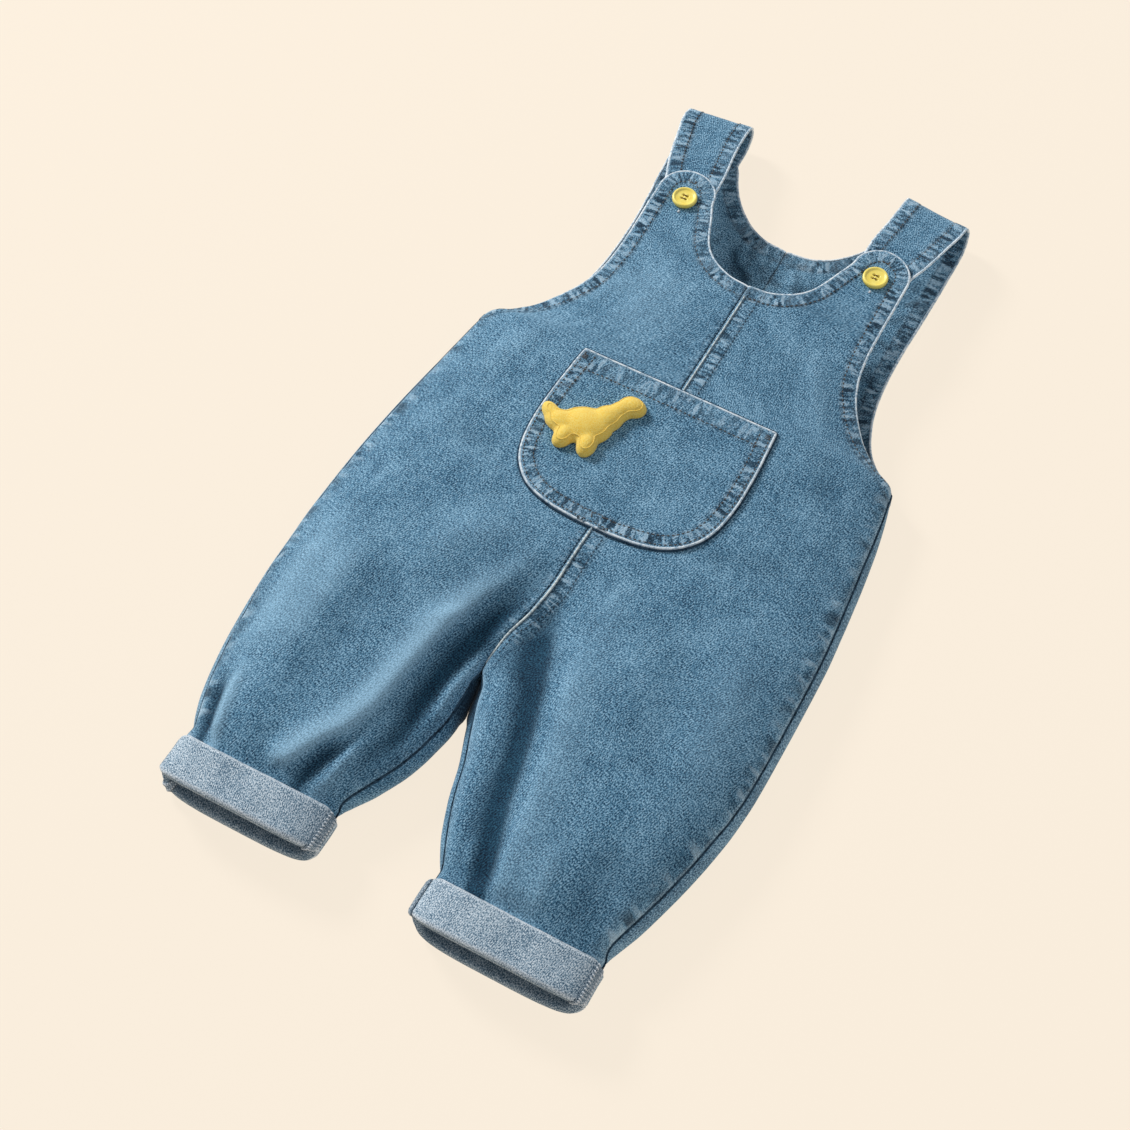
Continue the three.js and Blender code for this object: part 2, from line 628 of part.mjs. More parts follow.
// A padded long-necked animal on the pocket, as rounded lobes that run into each other.
const LOBE_COLUMNS = ["x", "y", "length", "width", "height", "turn"];
const LOBES = [
  [-36, 23, 17, 13.5, 8.2, 14],
  [-26, 36, 14, 8.5, 7.6, 60],
  [-20, 47, 10, 8, 7.8, 12],
  [-50, 19, 13, 7.5, 7.0, -6],
  [-60, 23, 8, 5, 5.8, -38],
  [-43, 10, 10, 6, 7.0, 80],
  [-29, 10, 10, 6, 7.0, 100],
];
const LOBE_SEGMENTS = 14;
const LOBE_RINGS = 8;
function motif() {
  let solid = null;
  const base = frontAbove(LOBES[0][0], LOBES[0][1]);
  for (const cells of LOBES) {
    const lobe = named(LOBE_COLUMNS, cells);
    const ball = new THREE.SphereGeometry(1, LOBE_SEGMENTS, LOBE_RINGS);
    ball.rotateX(Math.PI / 2);
    ball.scale(lobe.length, lobe.width, lobe.height);
    ball.rotateZ(THREE.MathUtils.degToRad(lobe.turn));
    ball.translate(lobe.x, lobe.y, base + SEAM_GAP + WALL);
    const made = solidOf(ball);
    solid = solid ? solid.add(made) : made;
  }
  const under = solidOf(wallGeometry(pocketGrid(SEAM_GAP), WALL + SEAM_GAP + 20, -20));
  return geometryOf(solid.subtract(under));
}

function material(colour, roughness) {
  return new THREE.MeshStandardMaterial({ color: colour, roughness, metalness: 0 });
}

const DENIM = 0x55799c;
const DENIM_BACK = 0x4a6d90;
const DENIM_REVERSE = 0x8fa3b5;
const YELLOW_PLASTIC = 0xf0cc50;
const YELLOW_CLOTH = 0xdfae3c;

const dungarees = new THREE.Group();
dungarees.name = "dungarees";

function addPiece(name, geometry, colour, roughness) {
  const mesh = new THREE.Mesh(geometry, material(colour, roughness));
  mesh.name = name;
  dungarees.add(mesh);
}

const SIDES = { left: 1, right: -1 };
const LEG_TOP = LEG_PARTING.at - LEG_PARTING.half;
const BODY_BOTTOM = LEG_PARTING.at + LEG_PARTING.half;
const BODY_TOP = STRAP_PARTING.at - STRAP_PARTING.half;
const STRAP_START = STRAP_PARTING.at + STRAP_PARTING.half;
for (const [side, left] of Object.entries(SIDES)) {
  addPiece("front_leg_" + side, frontStretch(left, 0, LEG_TOP), DENIM, 0.85);
  addPiece("front_" + side, frontStretch(left, BODY_BOTTOM, Infinity), DENIM, 0.85);
  addPiece("back_leg_" + side, backStretch(left, 0, LEG_TOP), DENIM_BACK, 0.85);
  addPiece("back_" + side, backStretch(left, BODY_BOTTOM, BODY_TOP), DENIM_BACK, 0.85);
  addPiece("strap_" + side, backStretch(left, STRAP_START, Infinity), DENIM_BACK, 0.85);
  addPiece("cuff_" + side, cuff(left), DENIM_REVERSE, 0.9);
  addPiece("button_" + side, button(left), YELLOW_PLASTIC, 0.35);
}
addPiece("pocket", wallGeometry(pocketGrid(SEAM_GAP), WALL), DENIM, 0.85);
addPiece("pocket_motif", motif(), YELLOW_CLOTH, 0.9);

dungarees.position.set(-ORIGIN.x, -ORIGIN.y, 0);

export default dungarees;
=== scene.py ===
# %% [markdown]
# # Kids denim dungarees, laid flat
# The garment lies on its back with its bib, straps and cuffs arranged by hand. It is sewn from two
# fronts, two backs with their straps cut in one, a patch pocket and two turned-up cuffs. The CAD
# model already holds their true shapes as plain walls, so each wall is replaced here by a thin
# shell on the same form, with its folds, hems, puckers, stitching and faded denim.

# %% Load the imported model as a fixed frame
import math

import bmesh
import bpy
import numpy as np
from mathutils import Matrix, Vector, noise
from mathutils.bvhtree import BVHTree
from mathutils.kdtree import KDTree


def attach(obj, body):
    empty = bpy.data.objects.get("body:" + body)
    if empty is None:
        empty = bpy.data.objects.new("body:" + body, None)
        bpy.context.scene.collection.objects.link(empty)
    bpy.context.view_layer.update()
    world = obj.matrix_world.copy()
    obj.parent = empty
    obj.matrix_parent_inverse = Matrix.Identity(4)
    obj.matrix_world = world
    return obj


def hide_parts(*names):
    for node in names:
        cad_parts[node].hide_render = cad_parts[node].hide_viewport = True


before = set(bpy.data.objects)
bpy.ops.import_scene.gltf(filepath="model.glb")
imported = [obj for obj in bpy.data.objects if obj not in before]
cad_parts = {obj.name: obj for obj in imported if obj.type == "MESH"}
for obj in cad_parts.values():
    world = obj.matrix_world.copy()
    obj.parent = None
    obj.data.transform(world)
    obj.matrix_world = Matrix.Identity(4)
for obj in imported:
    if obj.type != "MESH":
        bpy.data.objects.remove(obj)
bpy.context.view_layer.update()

# %% [markdown]
# ## Helpers
# These few functions do what the steps share. Sizes are in millimetres on the garment.

# %% Helpers for objects
MM = 0.001
ORIGIN = np.array([-0.55, 2.13, 0.0])
UP = np.array([0, 0, 1.0])


def linked(name, data):
    """A new object in the scene around a mesh, a curve, a lamp or a camera."""
    thing = bpy.data.objects.new(name, data)
    bpy.context.scene.collection.objects.link(thing)
    return thing


def mesh_of(name, bm):
    mesh = bpy.data.meshes.new(name)
    bm.to_mesh(mesh)
    bm.free()
    return mesh


def evaluated(thing):
    """The object's mesh with its modifiers or its bevel worked in."""
    bpy.context.view_layer.update()
    return bpy.data.meshes.new_from_object(thing.evaluated_get(bpy.context.evaluated_depsgraph_get()))


def smooth_object(name, mesh, material):
    mesh.name = name
    mesh.polygons.foreach_set("use_smooth", np.ones(len(mesh.polygons), bool))
    mesh.materials.clear()
    mesh.materials.append(material)
    return linked(name, mesh)


def declare(thing, slot, *nodes):
    """A piece of the one rigid body, with the CAD nodes that it covers, which are hidden. The slot is not
    used.
    """
    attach(thing, "root")
    for node in nodes:
        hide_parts(node)
    print(thing.name, len(thing.data.polygons), "faces")


# %% Helpers for materials
def new_material(name, values):
    """A material whose shader has these constant values, with its node tree and its shader."""
    material = bpy.data.materials.new(name)
    material.use_nodes = True
    shader = material.node_tree.nodes["Principled BSDF"]
    for socket, value in values.items():
        shader.inputs[socket].default_value = value
    return material, material.node_tree, shader


def feed(tree, socket, value):
    """A socket takes either a link from another node or a plain value."""
    if isinstance(value, bpy.types.NodeSocket):
        tree.links.new(value, socket)
    else:
        socket.default_value = value


def add_node(tree, kind, inputs=None, **settings):
    node = tree.nodes.new(kind)
    for name, value in settings.items():
        setattr(node, name, value)
    for name, value in (inputs or {}).items():
        feed(tree, node.inputs[name], value)
    return node


def mix_colours(tree, share, first, second, blend="MIX"):
    inputs = {0: share, 6: first, 7: second}
    return add_node(tree, "ShaderNodeMix", inputs, data_type="RGBA", blend_type=blend).outputs[2]


def maths(tree, operation, *values):
    return add_node(tree, "ShaderNodeMath", dict(enumerate(values)), operation=operation).outputs[0]


def noise_on(tree, vector, scale, stretch=(1, 1, 1), detail=2.0, rough=0.55):
    place = add_node(tree, "ShaderNodeMapping", {"Vector": vector, "Scale": stretch}).outputs[0]
    inputs = {"Vector": place, "Scale": scale, "Detail": detail, "Roughness": rough}
    return add_node(tree, "ShaderNodeTexNoise", inputs).outputs["Fac"]


def stretched(tree, value, low, high, to_low=0.0, to_high=1.0):
    inputs = {"Value": value, "From Min": low, "From Max": high, "To Min": to_low, "To Max": to_high}
    return add_node(tree, "ShaderNodeMapRange", inputs).outputs[0]


def own_space(tree):
    return add_node(tree, "ShaderNodeTexCoord").outputs["Object"]


def dress(tree, shader, colour, height=None, strength=0.0, distance=0.0):
    """The pattern goes into the shader's colour, and a fine relief into its normal."""
    tree.links.new(colour, shader.inputs["Base Color"])
    if height is not None:
        inputs = {"Height": height, "Strength": strength, "Distance": distance}
        tree.links.new(add_node(tree, "ShaderNodeBump", inputs).outputs[0], shader.inputs["Normal"])


# %% [markdown]
# ## Camera, floor and light
# The photo is taken from above at a slant, from the wearer's left. A long lens keeps the outline
# nearly parallel. A big soft lamp from the upper left models the folds, and a pale sky fills them.

# %% Camera
AZIMUTH, ELEVATION = math.radians(29.0), math.radians(58.5)
CAMERA_DISTANCE = 1.38
CAMERA_TARGET = Vector((-0.01095, -0.04993, 0.0))
camera_data = bpy.data.cameras.new("camera")
camera_data.lens = 73.59
camera_data.sensor_width = 36.0
camera = linked("camera", camera_data)
towards_camera = Vector((
    math.sin(AZIMUTH) * math.cos(ELEVATION),
    -math.cos(AZIMUTH) * math.cos(ELEVATION),
    math.sin(ELEVATION),
))
camera.location = CAMERA_TARGET + CAMERA_DISTANCE * towards_camera
camera.rotation_euler = towards_camera.to_track_quat("Z", "Y").to_euler()
bpy.context.scene.camera = camera
bpy.context.scene.view_settings.view_transform = "Standard"
print("camera", list(camera.location))

# %% Floor
FLOOR_SIZE, FLOOR_DEPTH = 4.0, 0.0004
bm = bmesh.new()
bmesh.ops.create_grid(bm, x_segments=1, y_segments=1, size=FLOOR_SIZE)
bmesh.ops.translate(bm, verts=bm.verts, vec=(0, 0, -FLOOR_DEPTH))
floor = linked("floor", mesh_of("floor", bm))
paper = new_material("cream_paper", {
    "Base Color": (0.10, 0.086, 0.072, 1), "Emission Color": (1.0, 0.895, 0.757, 1),
    "Emission Strength": 0.87, "Roughness": 1.0, "Specular IOR Level": 0.0,
})[0]
floor.data.materials.append(paper)


# %% Lamps
def lamp(name, towards, distance, size, power):
    data = bpy.data.lights.new(name, "AREA")
    data.shape = "DISK"
    data.size = size
    data.energy = power
    thing = linked(name, data)
    direction = Vector(towards).normalized()
    thing.location = CAMERA_TARGET + distance * direction
    thing.rotation_euler = direction.to_track_quat("Z", "Y").to_euler()
    print(name, "lamp", power, "W")


lamp("window", (-0.88, 0.36, 0.60), 3.6, 0.9, 116.0)
lamp("fill", (0.70, 0.20, 1.00), 3.6, 3.0, 12.0)
world = bpy.data.worlds.new("soft_room")
bpy.context.scene.world = world
world.use_nodes = True
world.node_tree.nodes["Background"].inputs["Color"].default_value = (0.93, 0.96, 1.0, 1)
world.node_tree.nodes["Background"].inputs["Strength"].default_value = 0.38

# %% [markdown]
# ## The pattern
# These tables are the garment's own sizes in millimetres, the same ones that the CAD walls come
# from: X to the wearer's left, Y to the shoulders, Z up. A row is one section across a half of the
# garment, from its inner edge to its outer edge.

# %% Sizes
SIDES = (("left", 1), ("right", -1))
HALF_GAP = 0.15
SEAM_BULGE_IN, SEAM_BULGE_OUT, SEAM_CREASE = 4.5, 5.0, 0.3
CROWN_ROUNDNESS, BIB_FALL = 3, 2.4
REACH_ROUNDED, REACH_FLAT = 14.0, 26.0
ARC_SHARE = 0.28
FORK_CLOSING = 0.46
LEG_LIFT = 2.9
TAB = {"x": 68.5, "y": 217.0, "radius": 18.5, "height": 34.5}
FOLD_Y, FOLD_RADIUS, FOLD_IN, FOLD_OUT, FOLD_LEAN, FOLD_TILT, FOLD_RAISE = 281, 13, 59, 103, 2, 7, 5
SWAY_FROM, SWAY_TO, SWAY = 200, 285, 3

# %% Sections of the legs and the body
SECTION_COLUMNS = (
    "yIn", "yOut", "drop", "inLeft", "inRight", "outLeft", "outRight", "crown", "crownAt",
    "zIn", "zInBack", "zOut", "roundIn", "zBase", "bulge", "bow",
)
SECTIONS = (
    (-287, -287, 6.5, 29.5, 38.5, 132.5, 138, 30.0, 0.50, 15.5, 15.5, 15.5, 1.0, LEG_LIFT, 0.0, 4.0),
    (-263, -263, 6.5, 29.5, 38.5, 132.5, 138, 30.0, 0.50, 15.5, 15.5, 15.5, 1.0, LEG_LIFT, 0.0, 4.0),
    (-257, -256, 6.4, 28, 37.5, 133.2, 139, 32.5, 0.50, 16.5, 16.5, 16.5, 1.0, 1.8, 0.4, 3.2),
    (-250, -249, 6.0, 24, 34, 135.5, 142, 35.5, 0.50, 18.0, 18.0, 18.0, 1.0, 0.6, 0.8, 2.5),
    (-234, -232, 4.5, 16.5, 25.5, 141.5, 147.5, 38.5, 0.50, 20.0, 20.0, 19.0, 1.0, 0.0, 1.0, 0.0),
    (-216, -214, 3.0, 9.5, 17.0, 147.0, 151.8, 39.5, 0.50, 21.0, 21.0, 19.0, 1.0, 0.0, 1.0, 0.0),
    (-198, -196, 1.5, 4.3, 12.0, 151.7, 154.9, 40.0, 0.50, 21.0, 21.0, 19.0, 1.0, 0.0, 1.0, 0.0),
    (-178, -177, 0.5, -3.5, 9.0, 155.6, 157.2, 40.0, 0.50, 20.0, 20.0, 19.0, 1.0, 0.0, 1.0, 0.0),
    (-158, -158, 0.0, -9.9, 10.2, 158.3, 159.0, 40.0, 0.50, 18.5, 18.5, 18.5, 1.0, 0.0, 0.9, 0.0),
    (-137, -138, 0.0, -13.35, 13.65, 159.5, 160.0, 39.5, 0.50, 16.0, 14.5, 18.5, 1.0, 0.0, 0.8, 0.0),
    (-118, -118, 0.0, -11.0, 11.3, 159.7, 160.4, 39.0, 0.47, 22.0, 7.0, 18.0, 0.6, 0.0, 0.8, 0.0),
    (-98, -98, 0.0, -5.35, 5.65, 159.6, 160.8, 38.0, 0.44, 28.0, 1.5, 18.0, 0.25, 0.0, 0.8, 0.0),
    (-75, -75, 0.0, -1.85, 2.15, 159.3, 160.2, 37.0, 0.38, 33.0, 0.0, 18.0, 0.0, 0.0, 0.8, 0.0),
    (-48, -46, 0.0, -1.15, 1.45, 158.5, 158.8, 36.0, 0.28, 35.5, 0.0, 18.0, 0.0, 0.0, 0.8, 0.0),
    (-18, -14, 0.0, -0.35, 0.65, 156.0, 156.0, 35.6, 0.16, 35.5, 0.0, 18.0, 0.0, 0.0, 0.8, 0.0),
    (12, 18, 0.0, HALF_GAP, HALF_GAP, 152.7, 152.3, 35.5, 0.12, 35.5, 0.0, 17.5, 0.0, 0.0, 0.8, 0.0),
    (40, 48, 0.0, HALF_GAP, HALF_GAP, 148.7, 147.5, 35.5, 0.10, 35.5, 0.0, 17.0, 0.0, 0.0, 0.6, 0.0),
    (60, 71, 0.0, HALF_GAP, HALF_GAP, 144.0, 143.0, 35.3, 0.10, 35.3, 0.0, 16.5, 0.0, 0.0, 0.3, 0.0),
    (74, 83, 0.0, HALF_GAP, HALF_GAP, 140.3, 140.0, 35.0, 0.10, 35.0, 0.0, 16.0, 0.0, 0.0, 0.1, 0.0),
)

# %% The bib with its rounded tab
BIB_COLUMNS = ("xIn", "yIn", "xOut", "yOut", "crown", "zOut", "roundOut")
BIB = (
    (HALF_GAP, 84, 128.5, 89.5, 35.0, 18.5, 0.70),
    (HALF_GAP, 94, 117.5, 97.0, 34.8, 21.0, 0.40),
    (HALF_GAP, 106, 108.0, 106.5, 34.6, 23.5, 0.20),
    (HALF_GAP, 119, 99.5, 118.0, 34.5, 25.5, 0.10),
    (HALF_GAP, 133, 93.2, 130.0, 34.5, 27.0, 0.00),
    (HALF_GAP, 146, 89.5, 142.0, 34.5, 28.2, 0.00),
    (HALF_GAP, 158, 87.7, 154.0, 34.4, 29.4, 0.00),
    (HALF_GAP, 168, 87.0, 165.0, 34.3, 30.4, 0.00),
    (12.5, 169.8, 86.8, 174.0, 34.3, 31.2, 0.00),
    (23.5, 174.0, 86.8, 182.0, 34.3, 32.0, 0.00),
    (31.5, 179.5, 86.9, 189.0, 34.4, 32.7, 0.00),
    (37.2, 186.5, 87.0, 196.0, 34.4, 33.4, 0.00),
    (41.3, 195.0, 87.0, 203.0, 34.5, 34.0, 0.00),
    (45.3, 205.5, 87.0, 210.0, 34.5, 34.5, 0.00),
)
TAB_ANGLES = (0, 22, 42, 59, 73, 83)

# %% The back with its strap, which folds over the shoulder
BACK_COLUMNS = ("xIn", "yIn", "xOut", "yOut", "zOut")
BACK = (
    (HALF_GAP, 86, 131.5, 91.5, 11.5),
    (HALF_GAP, 99, 122.5, 100.5, 8.5),
    (HALF_GAP, 113, 115.0, 111.0, 5.5),
    (HALF_GAP, 128, 109.0, 124.5, 3.0),
    (HALF_GAP, 145, 104.0, 140.0, 1.2),
    (HALF_GAP, 163, 101.0, 158.0, 0.4),
    (HALF_GAP, 182, 99.6, 177.0, 0.0),
    (HALF_GAP, 201, 99.4, 196.0, 0.0),
    (HALF_GAP, 217, 100.0, 212.0, 0.0),
    (HALF_GAP, 229.5, 100.7, 226.0, 0.0),
    (14.5, 231.5, 101.3, 236.0, 0.0),
    (26.5, 236.5, 101.8, 244.0, 0.0),
    (36.0, 244, 102.2, 251.0, 0.0),
    (44.5, 253.5, 102.5, 258.5, 0.0),
    (51.0, 264, 102.8, 266.5, 0.0),
    (56.0, 275, 103.0, 273.5, 0.0),
)
FOLD_ANGLES = (0, 30, 60, 90, 120, 150, 180)
STRAP_FRONT = (
    # xIn, yIn, xOut, yOut, height, share of the right strap's raise
    (56.8, 268, 97.5, 262, 28.0, 0.8),
    (54.8, 253, 94.5, 249, 30.0, 0.5),
    (53.2, 240, 91.5, 238, 31.6, 0.2),
    (52.8, 226, 87.0, 225, 32.4, 0.0),
    (53.0, 213, 84.5, 213, 32.3, 0.0),
    (54.0, 202, 83.5, 202, 31.7, 0.0),
)
NECK_START, ARMHOLE_START, CROTCH, BACK_NECK_START = 26, 18, 9, 28


# %% Soft steps, and rows between the rows of a table
def smoothstep(low, high, value):
    share = np.clip((value - low) / (high - low), 0.0, 1.0)
    return share * share * (3 - 2 * share)


def fade(low, high, value):
    return 1 - smoothstep(low, high, value)


def bell(value, centre, width):
    """1 at one value, falling softly to 0 on both sides of it."""
    return np.exp(-(((value - centre) / width) ** 2))


def row_at(rows, at):
    """Each column at a place between two rows, smooth and never beyond either row."""
    count = len(rows["xIn"])
    low = np.clip(np.floor(at).astype(int), 0, count - 2)
    share = at - low
    square = share * share
    cube = square * share
    out = {}
    for column, values in rows.items():
        steps = np.diff(values)
        before, after = steps[:-1], steps[1:]
        product = before * after
        total = np.where(product > 0, before + after, 1.0)
        slope = np.zeros(count)
        slope[1:-1] = np.where(product > 0, 2 * product / total, 0.0)
        out[column] = (
            values[low] * (2 * cube - 3 * square + 1)
            + slope[low] * (cube - 2 * square + share)
            + values[low + 1] * (3 * square - 2 * cube)
            + slope[low + 1] * (cube - square)
        )
    return out


# %% Rows of a front and of a back
PLAIN = dict.fromkeys(
    ("crown", "crownAt", "zIn", "zInBack", "roundIn", "roundOut", "zBase", "bulge", "bow"), 0
) | {"reachIn": REACH_FLAT, "reachOut": REACH_ROUNDED}


def stacked(rows):
    """A list of rows, each a dict, as one dict of columns."""
    return {column: np.array([row[column] for row in rows], float) for column in rows[-1]}


def section_rows(left):
    side = "Left" if left > 0 else "Right"
    rows = []
    for cells in SECTIONS:
        row = dict(zip(SECTION_COLUMNS, cells))
        down = row["drop"] if left > 0 else 0.0
        reach = REACH_FLAT + (REACH_ROUNDED - REACH_FLAT) * row["roundIn"]
        rows.append({
            **row, "xIn": row["in" + side], "xOut": row["out" + side], "yIn": row["yIn"] - down,
            "yOut": row["yOut"] - down, "roundOut": 1.0, "reachIn": reach, "reachOut": REACH_ROUNDED,
        })
    return rows


def front_rows(left):
    rows = section_rows(left)
    for cells in BIB:
        row = dict(zip(BIB_COLUMNS, cells))
        rows.append({**PLAIN, **row, "crownAt": 0.1, "zIn": row["crown"]})
    last = rows[-1]
    for degrees in TAB_ANGLES:
        across = TAB["radius"] * math.cos(math.radians(degrees))
        up = TAB["y"] + TAB["radius"] * math.sin(math.radians(degrees))
        rows.append({**last, "xIn": TAB["x"] - across, "yIn": up, "xOut": TAB["x"] + across, "yOut": up})
    return stacked(rows)


def back_rows(left):
    raised = 0 if left > 0 else FOLD_RAISE
    rows = section_rows(left)
    for cells in BACK:
        rows.append({**PLAIN, **dict(zip(BACK_COLUMNS, cells))})
    for degrees in FOLD_ANGLES:
        angle = math.radians(degrees)
        turned = degrees / 180
        y = FOLD_Y + FOLD_RADIUS * math.sin(angle) + raised * float(smoothstep(0, 0.5, turned + 0.1))
        z = FOLD_RADIUS * (1 - math.cos(angle))
        tilt = FOLD_TILT * turned / 2
        rows.append({
            **PLAIN, "xIn": FOLD_IN - FOLD_LEAN * 0.5 * turned, "xOut": FOLD_OUT - FOLD_LEAN * turned,
            "yIn": y + tilt, "yOut": y - tilt, "zInBack": z, "zOut": z, "zBase": z,
        })
    for x_in, y_in, x_out, y_out, z, share in STRAP_FRONT:
        rows.append({
            **PLAIN, "xIn": x_in, "xOut": x_out, "yIn": y_in + raised * share,
            "yOut": y_out + raised * share, "zInBack": z, "zOut": z, "zBase": z,
        })
    return stacked(rows)


# %% Outer faces of a front and of a back
def placed(row, across, height, left):
    y = row["yIn"] + (row["yOut"] - row["yIn"]) * across + row["bow"] * (2 * across - 1) ** 4
    x = left * (row["xIn"] + (row["xOut"] - row["xIn"]) * across)
    return np.stack([x - SWAY * smoothstep(SWAY_FROM, SWAY_TO, y), y, height], axis=-1)


def front_face(at, share, left):
    """The front bulges over its crown and falls to its seams, which roll out a little."""
    row = row_at(FRONT_ROWS[left], at)
    width = np.maximum(1.0, row["xOut"] - row["xIn"])
    from_in = SEAM_BULGE_IN * row["bulge"] * row["roundIn"] * fade(-153.0, -141.0, row["yIn"]) / width
    from_out = SEAM_BULGE_OUT * row["bulge"] / width
    across = from_in + (1 - from_in - from_out) * share
    inner = share < row["crownAt"]
    run = np.where(inner, row["crownAt"], 1 - row["crownAt"])
    q = np.abs(share - row["crownAt"]) / run
    edge = np.where(inner, row["zIn"], row["zOut"])
    joined = np.where(inner, row["roundIn"], row["roundOut"])
    roundness = joined * (1 - SEAM_CREASE * row["bulge"])
    rounded = np.sqrt(np.maximum(0.0, 1 - q**CROWN_ROUNDNESS))
    soft = np.where(inner, fade(0, 1, q), 1 - q**BIB_FALL)
    height = edge + (row["crown"] - edge) * (soft + (rounded - soft) * roundness)
    return placed(row, across, height + HALF_GAP * joined * q**8, left)


def seam_arc(turn, reach, bulge, rise):
    over = np.arccos(1 - bulge / reach)
    angle = turn * (math.pi / 2 + over) - over
    return reach * (1 - np.cos(angle)), rise * (1 - np.sin(angle)) / (1 + np.sin(over))


def back_face(at, share, left):
    """The back lies flat, turns up at both seams, and meets the other leg near the fork."""
    row = row_at(BACK_ROWS[left], at)
    width = np.maximum(1.0, row["xOut"] - row["xIn"])
    reach_in, reach_out = (np.minimum(0.4 * width, row[reach]) for reach in ("reachIn", "reachOut"))
    rise_in, rise_out = (np.maximum(0.0, row[z] - row["zBase"] - HALF_GAP) for z in ("zInBack", "zOut"))
    turn_in, turn_out = (np.clip(part / ARC_SHARE, 0, 1) for part in (share, 1 - share))
    in_from, in_up = seam_arc(turn_in, reach_in, SEAM_BULGE_IN * row["bulge"] * row["roundIn"], rise_in)
    out_from, out_up = seam_arc(turn_out, reach_out, SEAM_BULGE_OUT * row["bulge"], rise_out)
    middle = reach_in + (share - ARC_SHARE) / (1 - 2 * ARC_SHARE) * (width - reach_in - reach_out)
    at_in, at_out = share < ARC_SHARE, share > 1 - ARC_SHARE
    distance = np.where(at_in, in_from, np.where(at_out, width - out_from, middle))
    up = np.where(at_in, in_up, np.where(at_out, out_up, 0.0))
    gap = np.maximum(0.0, row["xIn"] + row_at(BACK_ROWS[-left], at)["xIn"])
    near_fork = smoothstep(-176.0, -169.0, row["yIn"]) * fade(-140.0, -134.0, row["yIn"])
    distance = distance - FORK_CLOSING * gap * near_fork * np.sin(math.pi * turn_in)
    return placed(row, distance / width, row["zBase"] + up, left)


FRONT_ROWS = {side: front_rows(side) for side in (1, -1)}
BACK_ROWS = {side: back_rows(side) for side in (1, -1)}
print("front rows", len(FRONT_ROWS[1]["xIn"]), "back rows", len(BACK_ROWS[1]["xIn"]))

# %% [markdown]
# ## Panels as fine grids
# A cut panel of cloth is one sheet, so each is a plain grid that is warped onto the garment's
# form. Rows lie about two millimetres apart, and columns crowd towards both edges, because hems
# and puckers need the finest mesh. The grid keeps the distance along and across the cloth as its
# UV map, in millimetres, so that the weave follows the cloth round every fold.

# %% Measures along lines
def travelled_on(line):
    """How far along a line each of its points is."""
    return np.concatenate([[0.0], np.cumsum(np.linalg.norm(np.diff(line, axis=0), axis=1))])


def sampled(wanted, measure, values):
    """The points of a line at wanted measures along it."""
    return np.stack([np.interp(wanted, measure, column) for column in values.T], axis=-1)


# %% Columns close together at the edges
EDGE_STEPS = np.array([0.0, 0.7, 1.5, 2.5, 3.8, 5.3, 6.9, 8.3, 9.3, 10.3, 11.8])
MIDDLE_STEP = 2.7
ROW_STEP = 1.9
CLOTH_THICKNESS = 1.2


def row_places(face, last):
    """Places along a panel about ROW_STEP apart, measured on its edges and its middle."""
    fine = np.linspace(0.0, last, 1600)
    lines = [face(fine, np.full(fine.shape, share)) for share in (0.0, 0.5, 1.0)]
    steps = np.max([np.linalg.norm(np.diff(line, axis=0), axis=1) for line in lines], axis=0)
    travelled = np.concatenate([[0.0], np.cumsum(steps)])
    return np.interp(np.linspace(0, travelled[-1], int(travelled[-1] / ROW_STEP) + 1), travelled, fine)


def spaced(width, edge_steps, middle_count):
    """Distances across a width: close steps at both edges and even ones between."""
    edge = edge_steps * min(1.0, width / (3 * edge_steps[-1]))
    middle = np.linspace(edge[-1], width - edge[-1], middle_count)[1:-1]
    return np.concatenate([edge, middle, width - edge[::-1]])


def column_places(face, rows_at, widest):
    """The share across for each column of each row, from true distances over the form."""
    middle_count = int((widest - 2 * EDGE_STEPS[-1]) / MIDDLE_STEP)
    fine = np.linspace(0, 1, 241)
    shares = []
    for at in rows_at:
        travelled = travelled_on(face(np.full(fine.shape, at), fine))
        shares.append(np.interp(spaced(travelled[-1], EDGE_STEPS, middle_count + 2), travelled, fine))
    return np.array(shares)


def grid_normals(points, outward):
    normal = np.cross(np.gradient(points, axis=1), np.gradient(points, axis=0)) * outward
    return normal / np.maximum(1e-9, np.linalg.norm(normal, axis=2, keepdims=True))


def cloth_lengths(points):
    """Distance across from the middle column and distance up the cloth, in millimetres."""
    across = np.linalg.norm(np.diff(points, axis=1), axis=2)
    across = np.concatenate([np.zeros((len(points), 1)), np.cumsum(across, axis=1)], axis=1)
    middle = points.shape[1] // 2
    across -= across[:, middle : middle + 1]
    up = travelled_on(points[:, middle])
    return np.stack([across, np.repeat(up[:, None], points.shape[1], axis=1)], axis=-1)


